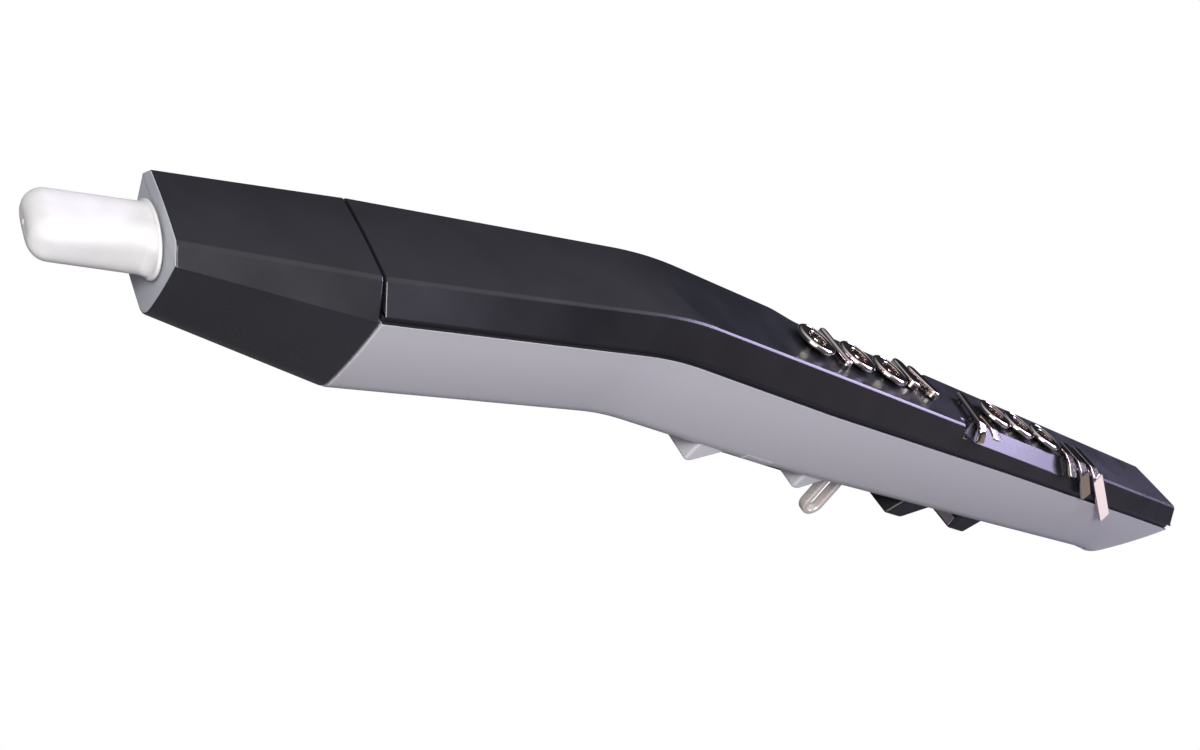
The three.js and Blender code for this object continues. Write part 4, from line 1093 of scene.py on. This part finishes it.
def bodyRows(m):
    start, end = m["flangeStart"] + m["flangeLip"] + m["curlRun"], m["reach"] - m["tipLength"]
    rows = []
    for share in (0.25, 0.5, 0.75, 1.0):
        section = mix(m["rootAcross"], m["across"], share), mix(m["rootTall"], m["tall"], share)
        rows.append((mix(start, end, share), *section, m["power"]))
    for angle in m["tipAngles"]:
        turn = math.radians(angle)
        narrowed = 1 - math.cos(turn)
        section = m["across"] - m["tipAcross"] * narrowed, m["tall"] - m["tipTall"] * narrowed
        rows.append((end + m["tipLength"] * math.sin(turn), *section, m["power"]))
    return rows


def makeMouthpiece():
    m = mouthpiece
    piece = loft("mouthpiece", [superRing(*row, m["sides"]) for row in flangeRows(m) + bodyRows(m)])
    hollow = [(-m["overrun"], m["cavity"]), (m["cavityReach"], m["cavity"]),
              (m["cavityReach"] + m["cavityEnd"], m["bore"]), (m["reach"] + m["overrun"], m["bore"])]
    cavity = loft("stemCavity", [superRing(reach, r, r, 2, m["cavitySides"]) for reach, r in hollow])
    combine(piece, [cavity], "DIFFERENCE")
    finishPiece(piece, whiteSilicone, "mouthpiece", ["mouthpiece"], 40)


makeMouthpiece()
print("mouthpiece made")


# Materials for the solids that stay as they are
slotMaterials = {
    "board": fibreBoard, "tube": pvcTube, "steel": nickelSteel, "chrome": chromePlate,
    "black_plastic": innerNylon, "black_case": caseAbs, "grey_case": silverLacquer, "silicone": whiteSilicone,
}
slotOf = {row["node"]: row.get("material_slot") for row in frame["record"]["subparts"]}
for name, node in frame["nodes"].items():
    made = slotMaterials[slotOf[name]]
    for slot in node.material_slots:
        slot.material = made
    if not node.material_slots:
        node.data.materials.append(made)
print("solids dressed")


# Floor, light and surroundings; places and sizes are in metres, and the floor's cloud in millimetres
studio = {
    "floorSize": 60.0, "floorDark": "#66666a", "floorLight": "#6e6e72", "floorRoughness": 0.8,
    "floorCloud": 900.0, "skyStrength": 1.0,
    "sky": ((0.0, "#0e0e0f"), (0.2, "#1c1c1f"), (0.34, "#34343a"), (0.57, "#7c7c84"), (0.8, "#b4b4bc"),
            (1.0, "#f4f4f8")),
}
softboxes = {
    "keySoftbox": {"place": (0.1, 1.5, 1.35), "size": (1.6, 0.8), "power": 50, "colour": "#dacfff"},
    "fillSoftbox": {"place": (0.56, -0.62, 0.5), "size": (0.6, 0.36), "power": 13.6, "colour": "#fefcfc"},
    "rimSoftbox": {"place": (1.6, 2.2, 0.5), "size": (2.0, 0.6), "power": 0.9, "colour": "#ffeee4"},
    "stripSoftbox": {"place": (1.07, 2.14, 0.22), "size": (0.5, 0.25), "power": 0.36, "colour": "#f1ecff"},
}


# The camera sees clean white round the object, while the object itself sees the dimmer studio
def showWhite(made, dim, kind, outputName):
    seen = addNode(made, kind, {"Color": (1, 1, 1, 1), "Strength": 1.0})
    ray = addNode(made, "ShaderNodeLightPath")
    mixed = addNode(made, "ShaderNodeMixShader", {"Fac": ray.outputs["Is Camera Ray"]})
    links = made.node_tree.links
    links.new(dim, mixed.inputs[1])
    links.new(seen.outputs[0], mixed.inputs[2])
    links.new(mixed.outputs["Shader"], made.node_tree.nodes[outputName].inputs["Surface"])


def makeFloor():
    deselectAll()
    bpy.ops.mesh.primitive_plane_add(size=studio["floorSize"], location=(0, 0, 0))
    floor = bpy.context.object
    floor.name = "floor"
    floor.data.transform(Matrix.Translation((0, 0, cadBox[0][2])))
    made = newMaterial("paintedFloor")
    cloud = objectNoise(made, studio["floorCloud"])
    colour = tinted(made, cloud, studio["floorDark"], studio["floorLight"])
    setShader(made, Base_Color=colour, Roughness=studio["floorRoughness"])
    dim = made.node_tree.nodes["Principled BSDF"].outputs["BSDF"]
    showWhite(made, dim, "ShaderNodeEmission", "Material Output")
    floor.data.materials.append(made)


def makeSoftbox(name, values):
    bpy.ops.object.light_add(type="AREA", location=values["place"])
    lamp = bpy.context.object
    lamp.name = name
    lamp.rotation_euler = (-Vector(values["place"])).to_track_quat("-Z", "Y").to_euler()
    lamp.data.shape = "RECTANGLE"
    lamp.data.size, lamp.data.size_y = values["size"]
    lamp.data.energy = values["power"]
    lamp.data.color = linear(values["colour"])[:3]


def makeWorld():
    world = bpy.data.worlds.new("studio")
    world.use_nodes = True
    bpy.context.scene.world = world
    background = world.node_tree.nodes["Background"]
    background.inputs["Strength"].default_value = studio["skyStrength"]
    place = addNode(world, "ShaderNodeTexCoord").outputs["Generated"]
    height = addNode(world, "ShaderNodeSeparateXYZ", {"Vector": place}).outputs["Z"]
    ramp = addNode(world, "ShaderNodeValToRGB", {"Fac": height})
    while len(ramp.color_ramp.elements) < len(studio["sky"]):
        ramp.color_ramp.elements.new(0.5)
    for stop, (position, colour) in zip(ramp.color_ramp.elements, studio["sky"]):
        stop.position = position
        stop.color = linear(colour)
    world.node_tree.links.new(ramp.outputs["Color"], background.inputs["Color"])
    showWhite(world, background.outputs["Background"], "ShaderNodeBackground", "World Output")


makeFloor()
for name, values in softboxes.items():
    makeSoftbox(name, values)
makeWorld()
bpy.context.scene.view_settings.view_transform = "Standard"
print("studio set")
